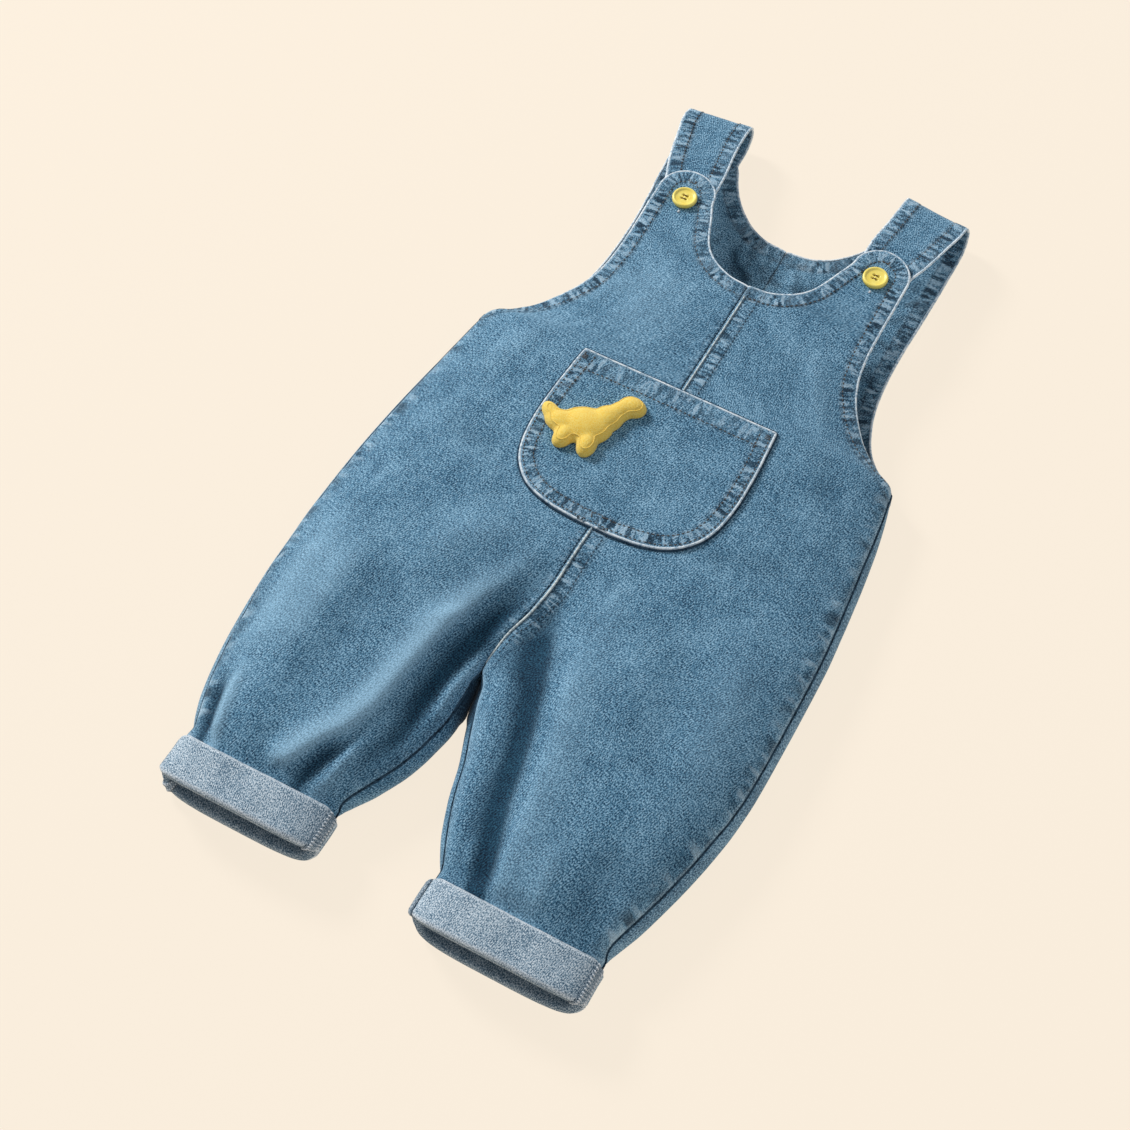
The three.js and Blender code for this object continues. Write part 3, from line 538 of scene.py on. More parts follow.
# %% One grid object from an array of points
def grid_object(name, points, outward, lengths, tones, cloths, thickness, closed=False, edge=None):
    """A grid warped onto an array of points, with a thin wall behind it."""
    rows, columns = points.shape[:2]
    bm = bmesh.new()
    bmesh.ops.create_grid(bm, x_segments=columns - 1, y_segments=rows - 1, size=0.5)
    mesh = mesh_of(name, bm)
    plan = np.zeros(len(mesh.vertices) * 3, np.float32)
    mesh.vertices.foreach_get("co", plan)
    plan = plan.reshape(-1, 3)
    column = np.rint((plan[:, 0] + 0.5) * (columns - 1)).astype(int)
    row = np.rint((plan[:, 1] + 0.5) * (rows - 1)).astype(int)
    place = points[row, column].astype(float).copy()
    place[:, 2] = np.maximum(0.0, place[:, 2])
    mesh.vertices.foreach_set("co", ((place - ORIGIN) * MM).astype(np.float32).ravel())
    corner = np.zeros(len(mesh.loops), np.int32)
    mesh.loops.foreach_get("vertex_index", corner)
    for layer, measures in (("cloth", lengths), ("edge", edge)):
        if measures is not None:
            uv = measures[row, column][corner].astype(np.float32).ravel()
            mesh.uv_layers.new(name=layer).data.foreach_set("uv", uv)
    for tone, values in tones.items():
        attribute = mesh.attributes.new(tone, "FLOAT", "POINT")
        attribute.data.foreach_set("value", values[row, column].astype(np.float32))
    if outward < 0:
        mesh.flip_normals()
    if closed:
        bm = bmesh.new()
        bm.from_mesh(mesh)
        bmesh.ops.remove_doubles(bm, verts=bm.verts, dist=0.00001)
        bm.to_mesh(mesh)
        bm.free()
    thing = smooth_object(name, mesh, cloths[0])
    for material in cloths[1:]:
        mesh.materials.append(material)
    wall = thing.modifiers.new("wall", "SOLIDIFY")
    wall.thickness = thickness * MM
    wall.offset = -1.0
    wall.material_offset = len(cloths) - 1
    return thing


def make_panel(name, plain, normals, lift, outward, lengths, tones, cloths, thickness, **more):
    """A panel: its plain form with a lift along its normals, and what later steps measure on it."""
    shown = plain + normals * lift[..., None]
    tones = {tone: np.clip(values, 0, 1) for tone, values in tones.items()}
    edge, closed = more.pop("edge", None), more.pop("closed", False)
    thing = grid_object(name, shown, outward, lengths, tones, cloths, thickness, closed, edge)
    return {"object": thing, "points": shown, "normals": normals, "flat": plain, "lengths": lengths, **more}


# %% Distance from every point to a seam or an edge
def tree_of(places):
    tree = KDTree(len(places))
    for index, place in enumerate(places):
        tree.insert(place, index)
    tree.balance()
    return tree


def nearest_on(points, path):
    """How far each point is from a line over the cloth, and how far along the line that is."""
    travelled = travelled_on(path)
    fine = np.linspace(0, travelled[-1], max(2, int(travelled[-1] / 0.6)))
    tree = tree_of(sampled(fine, travelled, path))
    found = [tree.find(point) for point in points.reshape(-1, 3)]
    distance = np.array([hit[2] for hit in found]).reshape(points.shape[:2])
    return distance, fine[np.array([hit[1] for hit in found])].reshape(points.shape[:2])


def crumple(points, size, seed):
    """Soft uneven bumps of one size, the same on each run."""
    spots = points.reshape(-1, 3) / size + np.array([seed * 7.3, seed * 3.1, seed * 1.7])
    return np.array([noise.noise(point) for point in spots.tolist()]).reshape(points.shape[:2])


# %% [markdown]
# ## Folds, hems and puckers
# The big folds are a short table, each a soft ridge or a trough between two places, uneven in
# length, width and depth as in the photo. A sewn hem is thicker than plain cloth, rounded at its
# fold, sunk along its stitches, and drawn into small puckers between the fold and the stitches.

# Each fold also carries a tone of painted shade along its trough or painted highlight along its ridge.
# %% Folds of the fronts
FOLDS = (
    # way it runs, width on its inner or outer side (x up, x down), lift, tone from painted shade -1 to
    # painted highlight 1
    (((-22, -78), (-33, -102), (-41, -126), (-45, -150), (-48, -175), (-51, -198), (-57, -218), (-76, -250)),
     5, 11, 4.0, 1.1),
    (((-4, -80), (-13, -100), (-20, -120), (-24, -142), (-26, -160), (-27, -182), (-27, -208), (-25, -232)),
     5, 11, -5.0, -1.2),
    (((-10, -118), (-15, -134), (-18, -150), (-20, -166), (-19, -180), (-17, -196)), 3, 2.6, 1.6, 0.55),
    (((-4, -108), (2, -128), (6, -150)), 20, 20, -0.3, -0.4),
    (((-110, -104), (-113, -138), (-114, -172), (-110, -206)), 9, 10, 1.3, 0.5),
    (((-74, 156), (-58, 128), (-42, 98)), 24, 24, 0.4, 0.32),
    (((-133, -95), (-133, -127), (-132, -160), (-131, -185), (-135, -212)), 11, 9, 2.2, 0.55),
    (((-95, -100), (-92, -150), (-97, -200), (-101, -240)), 17, 15, -1.8, -0.30),
    (((-136, -220), (-131, -242), (-124, -268)), 3.2, 4.4, -3.0, -1.0),
    (((-128, -210), (-125, -228), (-122, -242), (-117, -268)), 3.6, 3.2, 2.6, 0.9),
    (((-27, -196), (-31, -214), (-38, -228), (-44, -242)), 6, 6, -1.2, -0.38),
    (((-50, -222), (-58, -240), (-61, -251), (-64, -268)), 4, 6.5, -4.2, -0.95),
    (((-43, -220), (-48, -236), (-50, -248), (-54, -266)), 5, 3.5, 2.4, 0.42),
    (((-90, -232), (-85, -266)), 10, 10, -1.2, -0.35),
    (((3, -80), (12, -116), (23, -146), (29, -165), (36, -190), (41, -215), (50, -244), (56, -267)),
     6, 14, -5.8, -1.25),
    (((24, -94), (36, -116), (41, -139), (47, -157), (53, -182), (58, -207), (62, -239), (66, -267)),
     14, 5, 2.6, 0.32),
    (((3, -146), (7, -182), (15, -218), (25, -252)), 6, 5, 1.5, 0.34),
    (((36, -238), (41, -252), (46, -267)), 3, 3, 1.8, 0.45),
    (((83, -222), (86, -266)), 7, 7, 1.3, 0.25),
    (((112, -205), (109, -266)), 12, 12, -1.8, -0.32),
    (((134, -225), (127, -266)), 6, 6, 1.3, 0.22),
    (((118, -60), (124, -120), (128, -170)), 12, 14, 1.4, 0.20),
    (((84, -70), (88, -130), (90, -180)), 14, 12, -1.0, -0.14),
    (((62, -28), (100, -14), (128, -2)), 10, 10, -1.2, -0.16),
    (((-64, -24), (-100, -12), (-124, 4)), 10, 10, -1.2, -0.16),
    (((-30, -52), (-62, -74), (-86, -110)), 9, 12, 1.2, 0.18),
    (((-118, 34), (-108, 62), (-92, 92)), 8, 10, 0.9, 0.14),
    (((118, 38), (108, 62), (94, 88)), 8, 10, -0.8, -0.16),
    (((-84, 94), (-70, 118), (-60, 140)), 6, 7, -0.7, -0.18),
    (((84, 94), (70, 120), (58, 146)), 6, 7, 0.8, 0.16),
    (((-20, -118), (-44, -128), (-62, -150)), 4, 5, 0.9, 0.16),
    (((16, -160), (24, -184), (30, -206)), 3, 4, 0.8, 0.12),
    (((96, -120), (104, -150), (104, -175)), 8, 10, -0.8, -0.12),
    (((-148, -150), (-146, -190), (-150, -214)), 5, 6, -0.9, -0.25),
    (((28, -60), (40, -84), (46, -112)), 8, 9, 0.9, 0.14),
)
# ways that end above this height fade out; the others run on into the cuff
CUFF_LINE = -250


def fold_shape(points, folds):
    """Lift of soft ridges and troughs, each along a bent way and steeper on one side, and their tone: painted
    shade in the troughs, painted highlight on the ridges.
    """
    lift, tone = np.zeros(points.shape[:2]), np.zeros(points.shape[:2])
    for way, width_up, width_down, height, shade in folds:
        corners = np.array(way, float)
        best = np.full(points.shape[:2], 1e9)
        width, share = np.zeros(points.shape[:2]), np.zeros(points.shape[:2])
        begun = travelled_on(corners)
        for index, length in enumerate(np.diff(begun)):
            step = (corners[index + 1] - corners[index]) / length
            dx, dy = points[..., 0] - corners[index, 0], points[..., 1] - corners[index, 1]
            along = np.clip(dx * step[0] + dy * step[1], 0, length)
            gap = np.hypot(dx - along * step[0], dy - along * step[1])
            up_side = step[0] * dy - step[1] * dx > 0
            nearer = gap < best
            best = np.where(nearer, gap, best)
            width = np.where(nearer, np.where(up_side, width_up, width_down), width)
            share = np.where(nearer, (begun[index] + along) / begun[-1], share)
        grown = 0.25 + 0.75 * smoothstep(0.0, 0.3, share)
        if corners[-1, 1] > CUFF_LINE:
            grown = grown * (1 - 0.85 * smoothstep(0.62, 1.0, share))
        shape = bell(best, 0.0, width) * grown
        lift += height * shape
        tone += shade * shape
    return lift, tone


# %% Hems and puckers
HEM_DEPTH = 9.3


def speckle(first, second, seed, where):
    """Smooth noise from about -1 to 1 over two measures of the cloth, worked out where it shows."""
    out = np.zeros(first.shape)
    spots = zip(first[where].tolist(), second[where].tolist())
    out[where] = [noise.noise((a, b, seed)) for a, b in spots]
    return np.clip(2.1 * out, -1.0, 1.0)


def pucker_wave(along, distance, period, where, seed=0.5):
    """Uneven puckers across a band: blobs of about one period, some joined and some missing."""
    step = along / period
    depth = distance / (1.7 * period)
    coarse = speckle(1.35 * step + 0.15 * depth, depth, seed, where)
    fine = speckle(2.9 * step, 2.2 * depth, seed + 4.0, where)
    regular = np.sin(2 * math.pi * (step + 0.05 * distance) + 2.4 * np.sin(step / 2.3))
    strength = 0.7 + 0.5 * speckle(0.17 * step, 0 * step, seed + 9.0, where)
    return np.clip((0.75 * coarse + 0.35 * fine + 0.30 * regular) * strength, -1.0, 1.0)


def hem(distance, along, depth=HEM_DEPTH, period=4.2, amount=0.42):
    """Lift, dark tone (painted shade in the pucker hollows and along the stitch groove), worn tone and the
    pucker band of a folded and stitched edge.
    """
    doubled = fade(depth - 0.4, depth + 0.9, distance)
    band = smoothstep(0.6, 1.8, distance) * fade(depth - 0.8, depth + 2.6, distance)
    wave = pucker_wave(along, distance, 1.7 * period, band > 0) * band
    groove = bell(distance, depth, 0.8)
    roll = fade(0.0, 1.2, distance)
    lift = 0.3 * doubled + amount * wave - 0.3 * groove - 0.3 * roll
    dark = 0.40 * np.maximum(0, -wave) + 0.45 * groove
    worn = 0.45 * roll + 0.18 * np.maximum(0, wave)
    return lift, dark, worn, (band, beside_seam(along, distance, period))


def beside_seam(along, distance, period):
    return np.stack([along, distance], axis=-1) / period


def strongest(bands):
    """At each point the strongest of some pucker bands, with its measures along and beside."""
    strength = np.stack([band for band, _ in bands])
    pick = np.argmax(strength, axis=0)
    rows, columns = np.indices(pick.shape)
    return strength.max(axis=0), np.stack([edge for _, edge in bands])[pick, rows, columns]


# %% [markdown]
# ## Denim
# Denim is woven with blue threads one way and white threads the other, so its face shows fine
# slanting ribs. Washing fades it unevenly along the threads, and wears it white where it is
# folded. One node group of mixed patterns makes this from the cloth's own UV maps. Five point
# attributes say where the cloth is darker (mostly painted shade), worn pale, in painted shade,
# lit by a painted highlight, or puckered.

# %% Denim
SHADED_DENIM = (0.09, 0.20, 0.25, 1)
RIB_SHARE, GRAIN_SHARE, STREAK_SHARE, CLOUD_SHARE, BLOTCH_SHARE = 0.26, 0.86, 0.55, 0.70, 0.40
TONE_SPREAD = 0.55


def denim(name, light, middle, dark, pale, slant=22.0, rib=1.45, contrast=1.0, weave=1.6):
    material, tree, shader = new_material(name, {
        "Roughness": 0.86, "Specular IOR Level": 0.15, "Sheen Weight": 0.12, "Sheen Roughness": 0.5,
    })

    def times(first, second):
        return maths(tree, "MULTIPLY", first, second)

    def plus(first, second):
        return maths(tree, "ADD", first, second)

    cloth, beside = (add_node(tree, "ShaderNodeUVMap", uv_map=kind).outputs[0] for kind in ("cloth", "edge"))
    turn = {"Vector": cloth, "Rotation": (0, 0, math.radians(slant))}
    turned = add_node(tree, "ShaderNodeMapping", turn).outputs[0]
    ribs = add_node(tree, "ShaderNodeTexWave", {
        "Vector": turned, "Scale": 2 * math.pi / (20 * rib), "Distortion": 2.6,
        "Detail": 2.0, "Detail Scale": 2.2, "Detail Roughness": 0.6,
    }).outputs["Fac"]
    specks = noise_on(tree, turned, weave, stretch=(1.0, 0.5, 1), detail=1.0, rough=0.5)
    grain = stretched(tree, specks, 0.37, 0.63)
    strokes = noise_on(tree, beside, 1.55, stretch=(1.0, 0.26, 1), detail=1.0)
    pieces = noise_on(tree, beside, 3.4, stretch=(1.0, 0.6, 1), detail=1.0)
    pucker = stretched(tree, plus(times(strokes, 0.7), times(pieces, 0.3)), 0.41, 0.59)
    streaks = noise_on(tree, cloth, 0.42, stretch=(1, 0.10, 1), detail=3.0)
    clouds = noise_on(tree, cloth, 0.035, detail=3.0)
    blotches = noise_on(tree, cloth, 0.16, detail=2.0)
    patterns = (
        (grain, GRAIN_SHARE * contrast), (ribs, RIB_SHARE * contrast), (streaks, STREAK_SHARE),
        (clouds, CLOUD_SHARE), (blotches, BLOTCH_SHARE),
    )
    level = 0.0
    for pattern, share in patterns:
        level = plus(level, times(pattern, share))
    middle_level = 0.5 * sum(share for _, share in patterns)
    tint = add_node(tree, "ShaderNodeValToRGB", {
        0: stretched(tree, level, middle_level - TONE_SPREAD, middle_level + TONE_SPREAD),
    })
    tint.color_ramp.elements[0].color = (*dark, 1)
    tint.color_ramp.elements[1].color = (*light, 1)
    tint.color_ramp.elements.new(0.5).color = (*middle, 1)
    tone = {
        attribute: add_node(tree, "ShaderNodeAttribute", attribute_name=attribute).outputs["Fac"]
        for attribute in ("dark", "worn", "shade", "bright", "band")
    }
    # Darker and lighter copies of the denim's blues for painted shade and painted highlight, and a blue half
    # way to the worn pale for the pucker crests.
    deep = (*(0.42 * value for value in dark), 1)
    lit = (*(min(1.0, 1.08 * value) for value in light), 1)
    worn_highlight = (*(0.5 * (a + b) for a, b in zip(light, pale)), 1)
    ebb = noise_on(tree, beside, 0.33, stretch=(1.0, 0.3, 1), detail=1.0)
    here = times(tone["band"], stretched(tree, ebb, 0.36, 0.58, 0.45, 1.0))
    # Painted shade in the pucker hollows; wear and a painted highlight on the pucker crests.
    pucker_shade = times(times(here, stretched(tree, pucker, 0.5, 0.0)), 0.88)
    raised = times(times(here, stretched(tree, pucker, 0.6, 1.0)), 0.62)
    # The dark attribute, mostly painted shade, is broken up by the grain; the worn attribute whitens it.
    broken = times(tone["dark"], plus(times(grain, -0.55), 1.15))
    whitened = times(tone["worn"], plus(times(grain, 0.8), 0.45))
    broken, whitened = (
        add_node(tree, "ShaderNodeClamp", {"Value": value}).outputs[0] for value in (broken, whitened)
    )
    # Painted highlight: fold ridges and the leg's inner rim mix towards a lighter copy of the blue.
    colour = mix_colours(tree, times(tone["bright"], plus(times(grain, 0.5), 0.5)), tint.outputs[0], lit)
    # Painted shade: fold troughs and hollows are multiplied towards a dark teal.
    colour = mix_colours(tree, tone["shade"], colour, SHADED_DENIM, "MULTIPLY")
    for share, towards in ((pucker_shade, deep), (raised, worn_highlight), (broken, deep), (whitened, (*pale, 1))):
        colour = mix_colours(tree, share, colour, towards)
    relief = plus(plus(times(ribs, 0.06), times(grain, 0.16)), times(times(here, pucker), 0.55))
    dress(tree, shader, colour, relief, 0.55, 0.001)
    return material


DENIM_FACE = denim("denim_face", (0.320, 0.530, 0.690), (0.080, 0.217, 0.342), (0.008, 0.042, 0.090),
                   (0.70, 0.82, 0.89), contrast=1.15)
DENIM_INSIDE = denim("denim_inside", (0.330, 0.530, 0.680), (0.092, 0.232, 0.350), (0.008, 0.040, 0.085),
                     (0.62, 0.74, 0.82), contrast=1.2)
DENIM_REVERSE = denim("denim_reverse", (0.68, 0.76, 0.82), (0.270, 0.385, 0.480), (0.055, 0.115, 0.180),
                      (0.84, 0.89, 0.93), slant=10.0, rib=1.2, contrast=1.35, weave=1.8)
print("materials", [material.name for material in bpy.data.materials])

# %% [markdown]
# ## The two fronts
# Each front is one piece from the cuff to the rounded tab. Its big folds come from the tables, with painted
# shade in their troughs and painted highlight on their ridges.
# The neck, tab and armhole are one folded and stitched edge. The wearer's left front carries the
# felled centre seam, a doubled strip with a pale ridge along it, and each side seam puckers a
# little where the allowance under it was pressed.

# %% What fronts and backs share
def washed(points, seed):
    """The soft crumple of washed cloth, in three sizes."""
    bumps = ((0.55, 42.0), (0.26, 17.0), (0.10, 6.0))
    return sum(amount * crumple(points, size, seed + step) for step, (amount, size) in enumerate(bumps))


def boundary(points, first_in, first_out):
    """The line up the inner edge, over the top and down the outer edge, from two start rows."""
    return np.concatenate([points[first_in:, 0], points[-1, 1:-1], points[first_out:, -1][::-1]])


def panel_grid(face, rows, left, widest, outward, neck):
    """The plain form of a front or a back, its normals, and the grid rows where edges begin."""
    whole = lambda at, share: face(at, share, left)
    rows_at = row_places(whole, len(rows[left]["xIn"]) - 1.0)
    shares = column_places(whole, rows_at, widest)
    points = whole(np.repeat(rows_at[:, None], shares.shape[1], axis=1), shares)
    starts = [int(np.searchsorted(rows_at, place)) for place in (neck, ARMHOLE_START, CROTCH)]
    return points, grid_normals(points, outward), starts


def spot(x, y, centre_x, centre_y, wide, high):
    return np.exp(-(((x - centre_x) / wide) ** 2) - ((y - centre_y) / high) ** 2)


# %% Fronts
FRONT_WIDEST, BACK_WIDEST = 165.0, 175.0
POCKET_BOTTOM, POCKET_TOP, POCKET_REACH = -36.3, 75.0, 66
FELL_WIDTH, FELL_ROW = 11.0, 2.9
CUFF_HEIGHT, CUFF_BOTTOM_DROP = 26.0, 3.0


def front_panel(name, left):
    points, normals, (neck, armhole, crotch) = panel_grid(
        front_face, FRONT_ROWS, left, FRONT_WIDEST, left, NECK_START
    )
    x, y = points[..., 0], points[..., 1]
    edge, edge_along = nearest_on(points, boundary(points, neck, armhole))
    centre, centre_along = nearest_on(points, points[crotch : neck + 1, 0])
    side, side_along = nearest_on(points, points[: armhole + 1, -1])
    inseam, inseam_along = nearest_on(points, points[: crotch + 1, 0])
    seams = np.minimum(np.minimum(centre, side), inseam)
    cuff_top = points[0, 0, 1] + CUFF_HEIGHT - CUFF_BOTTOM_DROP - 1
    free = smoothstep(cuff_top, cuff_top + 12, y)
    # The folds' tone is painted light: shade in the troughs, a highlight on the ridges.
    folds, tone = fold_shape(points, FOLDS)
    folds *= smoothstep(0.3, 13.0, seams) * free
    tone *= smoothstep(0.3, 7.0, seams)
    above_foot, below_mouth = y - POCKET_BOTTOM, POCKET_TOP - y
    under_pocket = smoothstep(1, 5, above_foot) * smoothstep(1, 5, below_mouth)
    shown = 1 - under_pocket * fade(POCKET_REACH - 8, POCKET_REACH, np.abs(x))
    hem_lift, dark, worn, hem_band = hem(edge, edge_along)
    bands = [hem_band]
    lift = folds + washed(points, 3 + left) * smoothstep(0.5, 12, seams) + hem_lift
    # Painted highlight along the fold ridges.
    bright = np.clip(tone, 0, 1)
    if left > 0:
        ridge, groove = bell(centre, 1.0, 0.9), bell(centre, FELL_WIDTH, 0.8)
        strip = fade(FELL_WIDTH - 0.4, FELL_WIDTH + 1.0, centre)
        band = smoothstep(1.6, 3.2, centre) * fade(FELL_WIDTH - 2, FELL_WIDTH + 2.5, centre)
        wave = pucker_wave(centre_along, centre, 8.0, band > 0, 2.5) * band
        faded = 0.1 + 0.9 * smoothstep(-128, -100, y)
        bands.append((0.9 * band * shown * faded, beside_seam(centre_along, centre, 4.4)))
        lift += shown * (0.22 * strip + 0.30 * ridge + 0.30 * wave - 0.2 * groove)
        # Painted shade in the fell's pucker hollows and along its stitch groove.
        dark += shown * (0.30 * np.maximum(0, -wave) + 0.25 * groove)
        worn += shown * 0.10 * ridge
        # Painted shadow in a thin line beside the centre seam's cord, on its lower part.
        dark += shown * 0.55 * bell(centre, 2.1, 0.55) * fade(-60, 0, y)
        # A painted highlight runs along the inner edge of this leg below the fork.
        rim = smoothstep(-205, -180, y) * fade(-138, -130, y)
        bright = bright + 0.8 * rim * fade(2.5, 6.0, inseam)
    else:
        band = fade(2.0, 7.0, centre)
        wave = pucker_wave(centre_along, centre, 6.3, band > 0, 6.5) * band
        bands.append((0.45 * band * shown, beside_seam(centre_along, centre, 5.2)))
        lift += shown * (0.12 * wave - 0.25 * fade(0.0, 1.2, centre))
        # Painted shade along the centre seam and in the pucker hollows beside it.
        dark += shown * (0.80 * fade(0.5, 1.8, centre) + 0.25 * np.maximum(0, -wave))
        # Painted shadow in the hollow at the fork.
        dark += spot(x, y, -8, -137, 3.5, 8)
    for near, along, seed, wide, amount in (
        (side, side_along, 2.0, 14.0, 0.80), (inseam, inseam_along, 5.0, 8.0, 0.14)
    ):
        band = smoothstep(0.8, 3.0, near) * fade(0.4 * wide, wide, near)
        wave = pucker_wave(along, near, 1.1 * wide, band > 0, seed) * band
        bands.append((amount * band, beside_seam(along, near, 1.25 * wide) + seed))
        lift += 0.22 * band + 0.8 * amount * wave
        # Painted shade in the seam crevice and in the pucker hollows.
        dark += 0.30 * amount * np.maximum(0, -wave) + 0.85 * fade(0.5, 1.8, near) * free
        worn += 0.20 * amount * bell(near, 2.6, 0.8) * free
    band, beside = strongest(bands)
    tones = {"dark": dark, "worn": worn, "shade": -tone, "bright": bright, "band": band}
    lengths = cloth_lengths(points) * np.array([left, 1.0])
    return make_panel(
        name, points, normals, lift, left, lengths, tones, [DENIM_FACE, DENIM_INSIDE], CLOTH_THICKNESS,
        edge=beside, neck=neck, armhole=armhole, crotch=crotch,
    )


fronts = {}
for side_name, left in SIDES:
    fronts[left] = front_panel("front_cloth_" + side_name, left)
    declare(fronts[left]["object"], "denim", "front_" + side_name, "front_leg_" + side_name)

# %% [markdown]
# ## The two backs with their straps
# A back lies flat on the table, turns up to meet the front at the side and the inseam, and runs
# on as the strap, which folds over at the shoulder and comes down under the tab. Through the neck
# the inside of the back shows, with its hem and a few deep creases.
# The creases carry painted shade, and a painted shadow fills the hollow at the fork.

# %% Creases inside the neck
NECK_CREASES = (
    # way, width up, width down, lift, tone from painted shade -1 to painted highlight 1
    (((-56, 226), (-44, 204), (-30, 186)), 3, 4, -1.8, -0.8),
    (((-48, 216), (-36, 200), (-20, 178)), 3, 3, 1.4, 0.15),
    (((-34, 222), (-26, 206), (-10, 196)), 3, 3, -1.5, -0.8),
    (((-20, 204), (-8, 186), (6, 170)), 3, 5, -1.6, -0.7),
    (((10, 220), (18, 200), (34, 184)), 3, 4, 1.4, 0.1),
    (((16, 214), (26, 198), (40, 190)), 3, 3, -1.7, -0.8),
    (((46, 216), (36, 196), (28, 176)), 4, 3, -1.6, -0.7),
    (((60, 234), (52, 214), (44, 196)), 4, 4, 1.2, 0.1),
    (((-68, 240), (-62, 216), (-58, 196)), 4, 4, -1.3, -0.7),
)


# %% Backs
def back_panel(name, left):
    points, normals, (neck, armhole, crotch) = panel_grid(
        back_face, BACK_ROWS, left, BACK_WIDEST, -left, BACK_NECK_START
    )
    x, y, z = points[..., 0], points[..., 1], points[..., 2]
    inner_edge, inner_along = nearest_on(points, points[neck:, 0])
    outer_edge, outer_along = nearest_on(points, points[armhole:, -1])
    edge = np.minimum(inner_edge, outer_edge)
    along = np.where(inner_edge < outer_edge, inner_along, outer_along)
    side, _ = nearest_on(points, points[: armhole + 1, -1])
    centre, _ = nearest_on(points, points[: neck + 1, 0])
    seams = np.minimum(side, centre)
    hem_lift, dark, worn, (band, beside) = hem(edge, along, period=5.0)
    on_strap = np.clip(smoothstep(238, 262, y) + (z > 15) * (y > 190), 0, 1)
    raised = smoothstep(2.0, 9.0, z)
    # The creases' tone is painted shade in their troughs and painted highlight on their ridges.
    creases, tone = fold_shape(points, NECK_CREASES)
    creases *= smoothstep(1, 12, seams) * (1 - on_strap)
    tone *= 1 - on_strap
    # Painted shadow in the hollow at the fork, where the backs meet under the fronts.
    tone -= 1.2 * spot(x, y, -4, -158, 15, 20)
    dark += 1.8 * spot(x, y, -11, -162, 10, 13)
    lift = hem_lift * (0.25 + 0.75 * np.maximum(on_strap, raised))
    lift += washed(points, 11 + left) * smoothstep(0.5, 12, seams) * np.maximum(0.35, on_strap)
    lift -= np.maximum(0, -creases) * 0.2 + np.maximum(0, creases)
    # Blotchy painted shade of creases on the flat inside of the back, with a faint painted shade all over it
    # where it lies under the bib.
    blotches = np.clip(2.2 * crumple(points, 6.5, 21) + 1.2 * crumple(points, 15.0, 23), -1, 1)
    dark += (1 - on_strap) * (1 - raised) * (0.02 + 0.50 * np.maximum(0, blotches))
    dark += 0.4 * fade(0.3, 1.4, centre)
    worn += 0.1 * smoothstep(0.6, 2.0, side) * fade(6.0, 9.0, side) * (1 - on_strap)
    tones = {"dark": dark, "worn": worn, "shade": -tone, "bright": tone, "band": band}
    lengths = cloth_lengths(points) * np.array([left, 1.0])
    return make_panel(
        name, points, normals, lift, -left, lengths, tones, [DENIM_FACE, DENIM_INSIDE], CLOTH_THICKNESS,
        edge=beside, neck=neck, armhole=armhole, crotch=crotch,
    )


backs = {}
for side_name, left in SIDES:
    backs[left] = back_panel("back_cloth_" + side_name, left)
    covered = [part + side_name for part in ("back_", "back_leg_", "strap_")]
    declare(backs[left]["object"], "denim", *covered)

# %% [markdown]
# ## The patch pocket
# The pocket is a flat piece with a straight hem along its mouth and a rounded bottom. Its sides
# are turned under and sewn down close to the fold, so the seam allowance puckers all round. Its
# form is the front's own surface, moved out, so it follows the belly.

# %% Height of the belly under the pocket
POCKET_OUTLINE = (
    # half width, y
    (12, -36.3), (26, -35.2), (38, -32.5), (48, -28.0), (56, -21.0), (62.5, -11.0),
    (66.5, 4.0), (68, 22.0), (67.7, 40.0), (66.5, 58.0), (65, 75.0),
)
POCKET_LIFT, POCKET_EDGE_ROW, POCKET_SEAM, POCKET_HEM = 1.9, 1.9, 8.6, 14.5
POCKET_EDGE_STEPS = np.array([0.0, 0.6, 1.3, 2.2, 3.4, 4.8, 6.3, 7.8, 9.0, 10.2])


def height_map(left):
    """The front's smooth height as a function of the plan, for the belly under the pocket."""
    rows_at, shares = np.meshgrid(np.linspace(12.0, 20.0, 120), np.linspace(0.0, 0.62, 90), indexing="ij")
    places = front_face(rows_at, shares, left).reshape(-1, 3)
    return places, tree_of([(place[0], place[1], 0) for place in places])


HEIGHTS = {left: height_map(left) for left in (1, -1)}


def belly_height(x, y):
    places, tree = HEIGHTS[1 if x >= 0 else -1]
    near = tree.find_n((x, y, 0), 6)
    weights = np.array([1.0 / (hit[2] + 0.3) ** 2 for hit in near])
    heights = np.array([places[hit[1], 2] for hit in near])
    return float((weights * heights).sum() / weights.sum())


